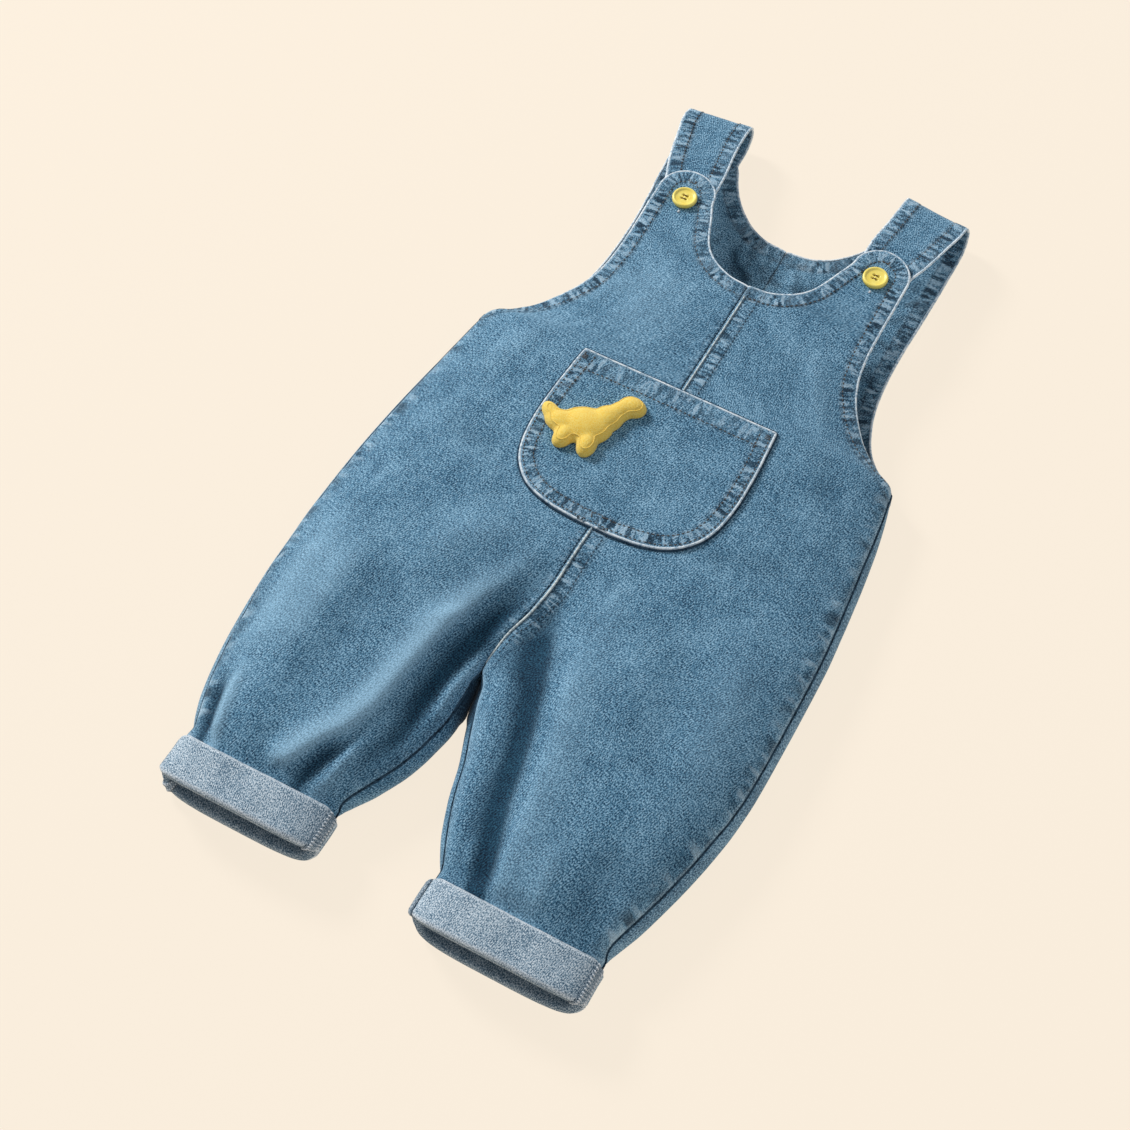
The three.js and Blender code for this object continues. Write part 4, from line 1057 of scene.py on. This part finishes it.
# %% Pocket
def pocket_panel():
    outline = stacked([dict(zip(("xIn", "y"), corner)) for corner in POCKET_OUTLINE])
    fine = np.linspace(0, len(POCKET_OUTLINE) - 1, 900)
    line = row_at(outline, fine)
    travelled = travelled_on(np.stack([line["xIn"], line["y"]], axis=-1))
    count = int(travelled[-1] / 1.5)
    picked = row_at(outline, np.interp(np.linspace(0, travelled[-1], count), travelled, fine))
    x = np.array([spaced(2 * half, POCKET_EDGE_STEPS, 54) - half for half in picked["xIn"]])
    y = np.repeat(picked["y"][:, None], x.shape[1], axis=1)
    z = np.array([[belly_height(a, b) for a, b in zip(line_x, line_y)] for line_x, line_y in zip(x, y)])
    for _ in range(3):
        z[:, 1:-1] = (z[:, :-2] + 2 * z[:, 1:-1] + z[:, 2:]) / 4
        z[1:-1] = (z[:-2] + 2 * z[1:-1] + z[2:]) / 4
    points = np.stack([x, y, z], axis=-1)
    normals = grid_normals(points, 1)
    points = points + normals * POCKET_LIFT
    border, border_along = nearest_on(points, pocket_rim(points))
    mouth = np.linalg.norm(points - points[-1][None, :, :], axis=2)
    side_lift, dark, worn, side_band = hem(border, border_along, depth=POCKET_SEAM, period=4.8)
    top_lift, top_dark, top_worn, (top_band, top_edge) = hem(
        mouth, x + 80, depth=POCKET_HEM, period=5.5, amount=0.22
    )
    band, beside = strongest([side_band, (0.75 * top_band, top_edge)])
    lift = np.maximum(side_lift, top_lift) * 0.5 + (side_lift + top_lift) * 0.35
    lift += 0.5 * washed(points, 31)
    # The dark tone is painted shade from the hems' pucker hollows and stitch grooves.
    tones = {"dark": dark * 0.85 + top_dark * 0.6, "worn": worn + top_worn * 0.6, "band": band}
    return make_panel(
        "pocket_cloth", points, normals, lift, 1, np.stack([x, y], axis=-1) + 300.0, tones,
        [DENIM_FACE, DENIM_INSIDE], CLOTH_THICKNESS, edge=beside,
    )


def pocket_rim(points):
    """Down one side, round the bottom and up the other side."""
    return np.concatenate([points[::-1, 0], points[0, 1:-1], points[:, -1]])


pocket = pocket_panel()
declare(pocket["object"], "denim", "pocket")

# %% [markdown]
# ## Turned-up cuffs
# The end of each leg is turned up once, so the pale wrong side of the denim faces out. The cuff
# runs from its raw-looking top edge down the outside, rolls round the fold at the bottom and goes
# up inside the leg. It is a closed ring, so the grid's two sides are merged.

# %% Form of a cuff
CUFF_GAP, CUFF_WALL, CUFF_RADIUS, CUFF_INSIDE, CUFF_THICKNESS = 0.5, 2.4, 2.6, 21.0, 1.7
LEG_WALL = 3.4
CORNER_FROM = 0.87
OUTSIDE_ROWS = 19


def ring_points(left):
    """The leg's outline at its hem as X and Z, evenly spaced, with outward directions."""
    share = np.linspace(0, 1, 400)
    over = front_face(0 * share, share, left)
    under = back_face(0 * share, share[::-1], left)
    closed = np.concatenate([over, under[1:-1], over[:1]])[:, [0, 2]] * (left, 1)
    travelled = travelled_on(closed)
    wanted = np.linspace(0, travelled[-1], 161)
    ring = sampled(wanted, travelled, closed)
    along = np.roll(ring[:-1], -1, axis=0) - np.roll(ring[:-1], 1, axis=0)
    for _ in range(4):
        along = (np.roll(along, 1, axis=0) + 2 * along + np.roll(along, -1, axis=0)) / 4
    along /= np.linalg.norm(along, axis=1, keepdims=True)
    out = np.stack([-along[:, 1], along[:, 0]], axis=-1)
    return ring, np.concatenate([out, out[:1]]), wanted, (0.0, travelled[len(share) - 1])


def cuff_profile():
    """Steps from the top edge down the outside, round the fold and up inside: away, up."""
    outer, inner, radius = CUFF_GAP + CUFF_WALL, -(CUFF_GAP + LEG_WALL), CUFF_RADIUS
    down = [(outer, up) for up in np.linspace(CUFF_HEIGHT, radius, 15)]
    turns = np.radians(np.linspace(0, 90, 7))[1:]
    first = [(outer - radius * (1 - math.cos(t)), radius * (1 - math.sin(t))) for t in turns]
    last = [(inner + radius * (1 - math.sin(t)), radius * (1 - math.cos(t))) for t in turns[:-1]]
    rise = [(inner, up) for up in np.linspace(radius, CUFF_INSIDE, 8)]
    return np.array(down + first + last + rise)


# %% Cuffs
def cuff(name, left):
    ring, out, travelled, seams = ring_points(left)
    profile = cuff_profile()
    row = {column: values[0] for column, values in FRONT_ROWS[left].items()}
    middle, half = (row["xIn"] + row["xOut"]) / 2, (row["xOut"] - row["xIn"]) / 2
    off_middle = np.abs(ring[:, 0] - middle) / half
    away, up = profile[:, :1], profile[:, 1:]
    x = left * (ring[None, :, 0] + out[None, :, 0] * away)
    z = ring[None, :, 1] + out[None, :, 1] * away
    corner = np.clip((off_middle - CORNER_FROM) / (1 - CORNER_FROM), 0, 1.2)[None, :] ** 2
    bow = (row["bow"] * np.minimum(1, off_middle) ** 4)[None, :]
    y = row["yIn"] - CUFF_BOTTOM_DROP + up * (1 - 0.26 * corner) + 2.6 * corner + bow
    points = np.stack([x, y, z], axis=-1)
    normals = grid_normals(points, -left)
    total = travelled[-1]
    around = np.repeat(travelled[None, :], len(profile), axis=0)
    gaps = [np.abs(around - seam) for seam in seams]
    nearest_seam = np.min([np.minimum(gap, total - gap) for gap in gaps], axis=0)
    outside = (np.arange(len(profile)) < OUTSIDE_ROWS)[:, None] * np.ones_like(around)
    angle = 2 * math.pi * around / total
    soft = 0.35 * np.sin(2 * angle + 0.6) + 0.2 * np.sin(5 * angle + up * 0.12) + 0.12 * np.sin(9 * angle + 2)
    groove = bell(nearest_seam, 3.4, 0.8)
    lift = soft * outside * (z > 6) - 0.5 * groove
    # Painted shade in the seam grooves outside, and all over the part that goes up inside the leg.
    tones = {
        "dark": 0.7 * groove * outside + 0.42 * (1 - outside),
        "worn": 0.5 * fade(0, 1.2, CUFF_HEIGHT - up) * outside + 0.55 * bell(up, 1.0, 1.1) * outside,
    }
    down = np.repeat(travelled_on(profile)[:, None], around.shape[1], axis=1)
    return make_panel(
        name, points, normals, lift, -left, np.stack([around, -down], axis=-1), tones,
        [DENIM_REVERSE, DENIM_REVERSE], CUFF_THICKNESS, closed=True, travelled=travelled, seams=seams,
    )


cuffs = {}
for side_name, left in SIDES:
    cuffs[left] = cuff("cuff_cloth_" + side_name, left)
    declare(cuffs[left]["object"], "denim_reverse", "cuff_" + side_name)

# %% [markdown]
# ## Seam allowances on the cuffs
# Wrong side out, each cuff shows its two seam allowances: narrow strips pressed to one side, with
# overlocking thread along them. Each is a short strip on the cuff's own form, set a little proud,
# from the top edge round the fold and into the leg.

# %% Overlocked strips
STRIP_HALF, STRIP_ROWS, STRIP_THICKNESS = 3.4, 70, 0.8
STRIP_ACROSS = np.linspace(-1, 1, 9)
# how far each strip lies from its seam: the inseam's, then the side seam's
STRIP_SHIFTS = {1: (2.6, -5.2), -1: (5.2, 10.5)}


def strip_points(made, around):
    """A narrow strip of the cuff's own form, rounded across, and its facing."""
    places = np.mod(around, made["travelled"][-1])
    count = len(made["points"])

    def resampled(values):
        beside = np.array([sampled(places, made["travelled"], line) for line in values])
        fine = np.linspace(0, count - 1, STRIP_ROWS)
        return np.stack([sampled(fine, np.arange(count), line) for line in beside.swapaxes(0, 1)], axis=1)

    facing = resampled(made["normals"])
    facing /= np.linalg.norm(facing, axis=2, keepdims=True)
    crown = 1.1 * (1 - STRIP_ACROSS**4) + 0.05
    return resampled(made["points"]) + facing * crown[None, :, None], facing


strips = {}
for side_name, left in SIDES:
    made = cuffs[left]
    made["strips"] = []
    for end, seam, shift in zip(("in", "out"), made["seams"], STRIP_SHIFTS[left]):
        shaped, facing = strip_points(made, seam + shift + STRIP_HALF * STRIP_ACROSS)
        name = f"cuff_allowance_{end}_{side_name}"
        rounded = np.abs(STRIP_ACROSS)[None, :] * np.ones((STRIP_ROWS, 1))
        # Darker all over, and darker still with painted shade towards its rounded edges, where it meets the
        # cuff.
        tones = {"dark": 0.42 + 0.58 * smoothstep(0.62, 0.92, rounded), "worn": 0.1 * (1 - rounded)}
        lengths = np.abs(cloth_lengths(shaped))
        thing = grid_object(name, shaped, -left, lengths, tones, [DENIM_REVERSE], STRIP_THICKNESS)
        declare(thing, "denim_reverse")
        strips[name] = (shaped, facing)
        made["strips"].append(thing)

# %% [markdown]
# ## Stitching
# A stitch is a tiny spindle of thread pressed into the cloth. Hundreds of them sit in rows at a
# constant distance from an edge, so each row is found by stepping inwards from the edge and
# dropping onto the shown cloth. All stitches of one kind are one joined mesh.

# %% Rows of stitches
THREAD_WIDTH, FINE_THREAD, BAR_THREAD, OVERLOCK_THREAD = 0.78, 0.6, 0.7, 1.1
PITCH, STITCH_LENGTH = 3.0, 2.1


def cloth_tree(points):
    rows, columns = points.shape[:2]
    index = np.arange(rows * columns).reshape(rows, columns)
    quads = np.stack([index[:-1, :-1], index[:-1, 1:], index[1:, 1:], index[1:, :-1]], axis=-1)
    return BVHTree.FromPolygons(points.reshape(-1, 3).tolist(), quads.reshape(-1, 4).tolist())


def inset_row(panel, path, distance):
    """Points on the cloth at a distance inside an edge, each with its normal."""
    if "tree" not in panel:
        panel["tree"] = cloth_tree(panel["points"])
    tree = panel["tree"]
    out = []
    for place, tangent in zip(path, np.gradient(path, axis=0)):
        _, normal, _, _ = tree.find_nearest(Vector(place))
        across = normal.cross(Vector(tangent).normalized()).normalized()
        tries = [tree.find_nearest(Vector(place) + side * distance * across) for side in (1, -1)]
        out.append(min(tries, key=lambda found: found[3])[:2])
    return out


def add_stitches(bm, panel, path, distance, width=THREAD_WIDTH):
    row = inset_row(panel, path, distance)
    places, facing = (np.array([list(item) for item in items]) for items in zip(*row))
    travelled = travelled_on(places)
    centres = np.arange(PITCH, travelled[-1] - PITCH, PITCH)
    starts, ends = (
        sampled(centres + half, travelled, places) for half in (-STITCH_LENGTH / 2, STITCH_LENGTH / 2)
    )
    for start, end, normal in zip(starts, ends, sampled(centres, travelled, facing)):
        add_spindle(bm, start, end, normal, width)


def add_spindle(bm, start, end, normal, width):
    along = Vector(end - start)
    if along.length < 1e-6:
        return
    side = along.cross(Vector(normal).normalized()).normalized()
    up = side.cross(along).normalized()
    middle = Vector((start + end) / 2) + 0.12 * up - Vector(ORIGIN)
    middle.z = max(middle.z, width / 2)
    axes = (along / 2 * MM, side * width / 2 * MM, up * width / 2 * MM, middle * MM)
    matrix = Matrix([axis.to_4d() for axis in axes]).transposed()
    for column in range(3):
        matrix[3][column] = 0.0
    bmesh.ops.create_icosphere(bm, subdivisions=1, radius=1.0, matrix=matrix)


def thread_object(name, bm, material, slot):
    bmesh.ops.recalc_face_normals(bm, faces=bm.faces)
    declare(smooth_object(name, mesh_of(name, bm), material), slot)


def thread(name, light, dark):
    """Twisted thread: two tones in a fine slanting pattern over the object's own space."""
    material, tree, shader = new_material(name, {"Roughness": 0.7, "Specular IOR Level": 0.25})
    inputs = {"Vector": own_space(tree), "Scale": 900.0, "Distortion": 3.0}
    twist = add_node(tree, "ShaderNodeTexWave", inputs).outputs["Fac"]
    dress(tree, shader, mix_colours(tree, twist, (*dark, 1), (*light, 1)), twist, 0.4, 0.0001)
    return material


THREAD = thread("sewing_thread", (0.18, 0.15, 0.125), (0.040, 0.044, 0.052))
PALE_THREAD = thread("overlock_thread", (0.84, 0.87, 0.89), (0.50, 0.56, 0.62))
SEAM_THREAD = thread("seam_thread", (0.10, 0.14, 0.18), (0.02, 0.04, 0.07))

# %% Stitches on the fronts, backs and pocket
bm = bmesh.new()
for side_name, left in SIDES:
    front, back = fronts[left], backs[left]
    add_stitches(bm, front, boundary(front["points"], front["neck"], front["armhole"]), HEM_DEPTH)
    add_stitches(bm, back, back["points"][back["neck"] :, 0], HEM_DEPTH)
    add_stitches(bm, back, back["points"][back["armhole"] :, -1], HEM_DEPTH)
centre_line = fronts[1]["points"][fronts[1]["crotch"] + 4 : fronts[1]["neck"] + 1, 0]
seam_bm = bmesh.new()
for beyond_pocket in (centre_line[:, 1] > POCKET_TOP + 1, centre_line[:, 1] < POCKET_BOTTOM - 1):
    for distance in (FELL_ROW, FELL_WIDTH):
        add_stitches(seam_bm, fronts[1], centre_line[beyond_pocket], distance, FINE_THREAD)
thread_object("seam_stitching", seam_bm, SEAM_THREAD, "denim")
for distance in (POCKET_EDGE_ROW, POCKET_SEAM):
    add_stitches(bm, pocket, pocket_rim(pocket["points"]), distance)
add_stitches(bm, pocket, pocket["points"][-1, 2:-2], POCKET_HEM)
for end, inwards in ((0, 3.2), (-1, -3.2)):
    for height in (1.2, 2.4, 3.6):
        place = pocket["points"][-3, end] + np.array([inwards, -height, 0.25])
        half = np.array([2.2, 0, 0])
        add_spindle(bm, place - half, place + half, UP, BAR_THREAD)
thread_object("stitching", bm, THREAD, "denim")

# %% Overlocking on the allowances
bm = bmesh.new()
for name, (shaped, facing) in strips.items():
    if name != "cuff_allowance_in_left":
        for row in range(0, STRIP_ROWS - 2, 3):
            for first, second in ((1, 3), (5, 7)):
                add_spindle(bm, shaped[row, first], shaped[row + 1, second], facing[row, 4], OVERLOCK_THREAD)
thread_object("overlocking", bm, PALE_THREAD, "denim_reverse")

# %% [markdown]
# ## Worn edges, painted highlight and painted shadows
# Along every folded edge the blue has rubbed off, and the thick fold shows as a fine pale cord.
# So each edge gets a thin round bead of pale cloth that runs along the fold, and the felled
# centre seam gets a finer one, pale by wear and by a painted highlight. Dark beads of painted
# shadow lie in the joins at the side seams and round the pocket. They are made as curves and
# turned into meshes.

# %% Beads of cloth
def patchy_cloth(name, light, dark):
    material, tree, shader = new_material(name, {"Roughness": 0.9, "Specular IOR Level": 0.1})
    space = own_space(tree)
    fine, coarse = (noise_on(tree, space, scale) for scale in (520.0, 110.0))
    patchy = maths(tree, "ADD", maths(tree, "MULTIPLY", fine, 0.7), maths(tree, "MULTIPLY", coarse, 0.5))
    share = stretched(tree, patchy, 0.47, 0.67)
    dress(tree, shader, mix_colours(tree, share, (*dark, 1), (*light, 1)))
    return material


def bead(name, lines, radius, material, slot, rings=()):
    """A thin round cord of cloth along each line, kept above the table. Rings are closed lines."""
    curve = bpy.data.curves.new(name, "CURVE")
    curve.dimensions = "3D"
    curve.bevel_depth = radius * MM
    curve.bevel_resolution = 1
    curve.use_fill_caps = True
    for line, closed in [(line, False) for line in lines] + [(ring, True) for ring in rings]:
        spline = curve.splines.new("POLY")
        spline.points.add(len(line) - 1)
        places = (line - ORIGIN) * MM
        places[:, 2] = np.maximum(places[:, 2], radius * MM)
        spline.points.foreach_set("co", np.concatenate([places, np.ones((len(line), 1))], axis=1).ravel())
        spline.use_cyclic_u = closed
    source = linked(name + "_curve", curve)
    mesh = evaluated(source)
    bpy.data.objects.remove(source)
    declare(smooth_object(name, mesh, material), slot)


def beside(panel, lift):
    return panel["points"] + panel["normals"] * lift


# %% Pale folds, and painted shadow in the joins
EDGE_CLOTH = patchy_cloth("worn_edge", (0.80, 0.87, 0.91), (0.30, 0.44, 0.56))
# The centre seam's cord: pale by wear and by a painted highlight.
SEAM_WEAR_HIGHLIGHT = patchy_cloth("worn_seam_highlight", (0.74, 0.80, 0.78), (0.26, 0.36, 0.42))
POCKET_SHADE = patchy_cloth("pocket_shadow", (0.035, 0.075, 0.12), (0.008, 0.025, 0.05))
SEAM_SHADE = patchy_cloth("seam_shadow", (0.035, 0.075, 0.12), (0.006, 0.018, 0.035))
CUFF_CLOTH = patchy_cloth("worn_cuff", (0.62, 0.68, 0.73), (0.30, 0.38, 0.45))
edges, join_shadows = [], []
for side_name, left in SIDES:
    front, back = fronts[left], backs[left]
    edges.append(boundary(beside(front, -0.55), front["neck"], front["armhole"]))
    edges += [beside(back, -0.55)[back["neck"] :, 0], beside(back, -0.55)[back["armhole"] :, -1]]
    line = beside(front, 0.2)
    # Dark beads of painted shadow in the joins at the side seams and inseams.
    join_shadows += [line[8 : front["armhole"] - 1, -1], line[8 : front["crotch"] - 4, 0]]
core = beside(pocket, -0.5)
pocket_edge = np.concatenate([pocket_rim(core), core[-1, -2:0:-1]])
bead("worn_edges", edges, 0.85, EDGE_CLOTH, "denim", rings=[pocket_edge])
outwards = np.cross(np.roll(pocket_edge, -1, axis=0) - np.roll(pocket_edge, 1, axis=0), UP)
outwards /= np.maximum(1e-9, np.linalg.norm(outwards, axis=1, keepdims=True))
shadow_edge = pocket_edge + 1.15 * outwards - 0.75 * UP
bead("pocket_fold_shadow", [], 0.7, POCKET_SHADE, "denim", rings=[shadow_edge])
piping = beside(fronts[1], 0.2)[fronts[1]["crotch"] - 1 : fronts[1]["neck"] - 4, 2]
bead("centre_seam_fold", [piping[piping[:, 1] < POCKET_BOTTOM + 1]], 0.72, SEAM_WEAR_HIGHLIGHT, "denim")
bead("chest_seam_fold", [piping[piping[:, 1] > POCKET_TOP - 1]], 0.5, SEAM_WEAR_HIGHLIGHT, "denim")
bead("seam_join_shadows", join_shadows, 0.7, SEAM_SHADE, "denim")
cuff_tops = [beside(cuffs[left], -0.8)[0, :-1] for side_name, left in SIDES]
bead("cuff_edges", [], 0.8, CUFF_CLOTH, "denim_reverse", rings=cuff_tops)

# %% [markdown]
# ## Buttons
# Each button is turned from yellow plastic: a disc with a rounded raised rim, a shallow dish and
# four holes. The profile is spun round the axis, the holes are cut with a boolean, and brown
# thread crosses between the holes. A pale thread end marks the buttonhole below.

# %% Plastic and turned profile
BUTTON = {"x": 67.3, "y": 211.5, "pitch": 2.7, "hole": 0.88}
BUTTON_PROFILE = (
    (0.0, 0.0), (7.2, 0.0), (7.8, 0.25), (8.1, 0.9), (8.1, 2.2), (7.9, 2.8), (7.4, 3.15),
    (6.9, 3.2), (6.5, 3.05), (6.1, 2.6), (5.6, 2.35), (3.6, 2.3), (0.0, 2.25),
)
THREAD_HEIGHT = 2.35
BUTTON_THREAD = thread("button_thread", (0.20, 0.10, 0.025), (0.07, 0.03, 0.01))


def button_plastic():
    material, tree, shader = new_material("button_plastic", {"Roughness": 0.34, "Specular IOR Level": 0.5})
    space = own_space(tree)
    swirl = noise_on(tree, space, 240.0, detail=3.0)
    colour = mix_colours(tree, swirl, (0.94, 0.68, 0.07, 1), (1.0, 0.88, 0.26, 1))
    dress(tree, shader, colour, noise_on(tree, space, 1400.0), 0.15, 0.0001)
    return material


PLASTIC = button_plastic()


# %% Turned buttons with holes
def turned_button(name, centre):
    bm = bmesh.new()
    corners = [bm.verts.new((x * MM, 0, z * MM)) for x, z in BUTTON_PROFILE]
    lines = [bm.edges.new(pair) for pair in zip(corners, corners[1:])]
    bmesh.ops.spin(
        bm, geom=corners + lines, angle=2 * math.pi, steps=48, axis=(0, 0, 1), cent=(0, 0, 0),
        use_merge=True,
    )
    bmesh.ops.remove_doubles(bm, verts=bm.verts, dist=0.00001)
    bmesh.ops.recalc_face_normals(bm, faces=bm.faces)
    blank = linked(name + "_blank", mesh_of(name, bm))
    bm = bmesh.new()
    half = BUTTON["pitch"] / 2 * MM
    for x in (-half, half):
        for y in (-half, half):
            bmesh.ops.create_cone(
                bm, cap_ends=True, segments=16, radius1=BUTTON["hole"] * MM,
                radius2=BUTTON["hole"] * MM, depth=0.008, matrix=Matrix.Translation((x, y, 0.0015)),
            )
    cutter = linked(name + "_drill", mesh_of(name + "_drill", bm))
    drill = blank.modifiers.new("holes", "BOOLEAN")
    drill.object = cutter
    drill.operation = "DIFFERENCE"
    made = evaluated(blank)
    bpy.data.objects.remove(blank)
    bpy.data.objects.remove(cutter)
    made.transform(Matrix.Translation(centre))
    return smooth_object(name, made, PLASTIC)


bm, ends_bm = bmesh.new(), bmesh.new()
sway = float(SWAY * smoothstep(SWAY_FROM, SWAY_TO, BUTTON["y"]))
for side_name, left in SIDES:
    foot = np.array([left * BUTTON["x"] - sway, BUTTON["y"], TAB["height"] + 0.35])
    thing = turned_button("turned_button_" + side_name, Vector((foot - ORIGIN) * MM))
    declare(thing, "button_plastic", "button_" + side_name)
    half = BUTTON["pitch"] / 2
    for y in (-half, half):
        start, end = (foot + np.array([x, y, THREAD_HEIGHT]) for x in (-half, half))
        add_spindle(bm, start, end, UP, 0.85)
    for turn in (-0.6, 0.25, 0.9):
        hole_end = foot + np.array([1.2, -10.6, 0])
        step = np.array([1.3 * math.sin(turn), 1.3 * math.cos(turn), 0.25])
        add_spindle(ends_bm, hole_end - step, hole_end + step, UP, 0.75)
thread_object("button_threads", bm, BUTTON_THREAD, "button_plastic")
thread_object("buttonhole_ends", ends_bm, PALE_THREAD, "denim")

# %% [markdown]
# ## The padded animal
# A small stuffed shape of brushed yellow cloth is sewn on the pocket: a plain long-necked animal
# of this garment's own. It starts as overlapping balls, is remeshed into one skin, and is blown
# up a little by a short cloth simulation. Set on the pocket, it is plump on top and flat below.

# %% Brushed cloth
def brushed_cloth():
    material, tree, shader = new_material("brushed_cloth", {
        "Roughness": 0.9, "Specular IOR Level": 0.1, "Sheen Weight": 0.25,
    })
    space = own_space(tree)
    nap = stretched(tree, noise_on(tree, space, 1500.0, detail=3.0, rough=0.65), 0.36, 0.64)
    soft = noise_on(tree, space, 130.0, detail=3.0)
    base = mix_colours(tree, soft, (0.90, 0.49, 0.028, 1), (1.0, 0.68, 0.085, 1))
    dress(tree, shader, mix_colours(tree, nap, base, (1.0, 0.78, 0.22, 1)), nap, 0.5, 0.0003)
    return material


# %% Lobes, swelling and seam line
LOBES = (
    # x, y, length, width, height, turn in degrees
    (-37, 23, 17.5, 13.5, 8.0, 14),
    (-28, 33, 11.5, 9.5, 7.6, 50),
    (-23.5, 41, 10, 7.0, 7.0, 62),
    (-18.5, 48, 9.5, 7.2, 7.2, 10),
    (-50, 19, 12.5, 8.2, 6.8, -4),
    (-60, 22.5, 8.5, 5.2, 5.6, -34),
    (-44.5, 10.5, 9.5, 6.4, 6.6, 82),
    (-29.5, 11.5, 9.5, 6.4, 6.6, 98),
)
SKIN_CELL, SWELL_CAP, SWELL_FRAMES = 1.2, 1.6, 20
SEAM_HEIGHT, SEAM_RADIUS = 4.9, 0.42


def swollen(start):
    """A short cloth simulation that blows the cover up like stuffing, with each move capped."""
    scene = bpy.context.scene
    before = np.array([vert.co[:] for vert in start.data.vertices])
    cover = start.modifiers.new("cover", "CLOTH")
    cover.settings.quality = 6
    cover.settings.mass = 0.15
    cover.settings.use_pressure = True
    cover.settings.uniform_pressure_force = 4.0
    cover.settings.effector_weights.gravity = 0.0
    cover.point_cache.frame_start = 1
    cover.point_cache.frame_end = SWELL_FRAMES
    for frame_number in range(1, SWELL_FRAMES + 1):
        scene.frame_set(frame_number)
    mesh = evaluated(start)
    after = np.array([vert.co[:] for vert in mesh.vertices])
    scene.frame_set(1)
    bpy.data.meshes.remove(mesh)
    start.modifiers.remove(cover)
    move = after - before
    far = np.linalg.norm(move, axis=1, keepdims=True)
    print("largest swell", round(float(far.max()) / MM, 2), "mm")
    move *= np.minimum(1.0, SWELL_CAP * MM / np.maximum(far, 1e-9))
    start.data.vertices.foreach_set("co", (before + move).ravel())
    start.data.update()


def pocket_top(x, y):
    return (belly_height(x / MM + ORIGIN[0], y / MM + ORIGIN[1]) + POCKET_LIFT + 0.7) * MM


def cut(bm, height, **settings):
    """A level cut through the whole mesh."""
    return bmesh.ops.bisect_plane(
        bm, geom=bm.verts[:] + bm.edges[:] + bm.faces[:], plane_co=(0, 0, height), plane_no=(0, 0, 1),
        **settings,
    )


def ordered_loops(edges):
    """Closed runs of points, in order, from a set of cut edges."""
    around = {}
    for edge in edges:
        for vert in edge.verts:
            around.setdefault(vert, []).append(edge.other_vert(vert))
    loops = []
    while around:
        start = next(iter(around))
        run, here, before = [], start, None
        while here is not None and here in around:
            run.append(tuple(here.co))
            nexts = [vert for vert in around.pop(here) if vert is not before and vert in around]
            before, here = here, (nexts[0] if nexts else None)
        if len(run) > 12:
            loops.append(np.array(run))
    return loops


# %% Stuffed shape
def stuffed_animal(material):
    bm = bmesh.new()
    for x, y, length, width, height, turn in LOBES:
        size = Matrix.Diagonal((length * MM, width * MM, height * MM, 1))
        place = Matrix.Translation(((x - ORIGIN[0]) * MM, (y - ORIGIN[1]) * MM, 0.0))
        matrix = place @ Matrix.Rotation(math.radians(turn), 4, "Z") @ size
        bmesh.ops.create_uvsphere(bm, u_segments=32, v_segments=20, radius=1.0, matrix=matrix)
    start = linked("padded_animal_start", mesh_of("padded_animal_start", bm))
    skin = start.modifiers.new("skin", "REMESH")
    skin.mode = "VOXEL"
    skin.voxel_size = SKIN_CELL * MM
    even = start.modifiers.new("even", "SMOOTH")
    even.factor = 0.5
    even.iterations = 6
    closed = evaluated(start)
    start.modifiers.clear()
    start.data = closed
    swollen(start)
    rounder = start.modifiers.new("rounder", "SUBSURF")
    rounder.levels = 1
    rounder.render_levels = 1
    made = evaluated(start)
    bpy.data.objects.remove(start)
    bm = bmesh.new()
    bm.from_mesh(made)
    cut(bm, 0.0, clear_inner=True)
    bmesh.ops.holes_fill(bm, edges=[edge for edge in bm.edges if edge.is_boundary])
    copy = bm.copy()
    ring = cut(copy, SEAM_HEIGHT * MM)["geom_cut"]
    seam = ordered_loops([item for item in ring if isinstance(item, bmesh.types.BMEdge)])
    copy.free()
    for vert in bm.verts:
        vert.co.z += pocket_top(vert.co.x, vert.co.y)
    bmesh.ops.recalc_face_normals(bm, faces=bm.faces)
    bm.to_mesh(made)
    bm.free()
    return smooth_object("padded_animal", made, material), seam


BRUSHED = brushed_cloth()
animal, seam_loops = stuffed_animal(BRUSHED)
seam_lines = []
for loop in seam_loops:
    for _ in range(3):
        loop = (np.roll(loop, 1, axis=0) + 2 * loop + np.roll(loop, -1, axis=0)) / 4
    loop[:, 2] += [pocket_top(x, y) for x, y in loop[:, :2]]
    seam_lines.append(loop / MM + ORIGIN)
bead("padded_animal_seam", [], SEAM_RADIUS, BRUSHED, "motif_cloth", rings=seam_lines)
declare(animal, "motif_cloth", "pocket_motif")

# %% [markdown]
# ## Finish
# Each side's front and back objects are looked up once more.


for side_name, left in SIDES:
    front, back = fronts[left]["object"], backs[left]["object"]
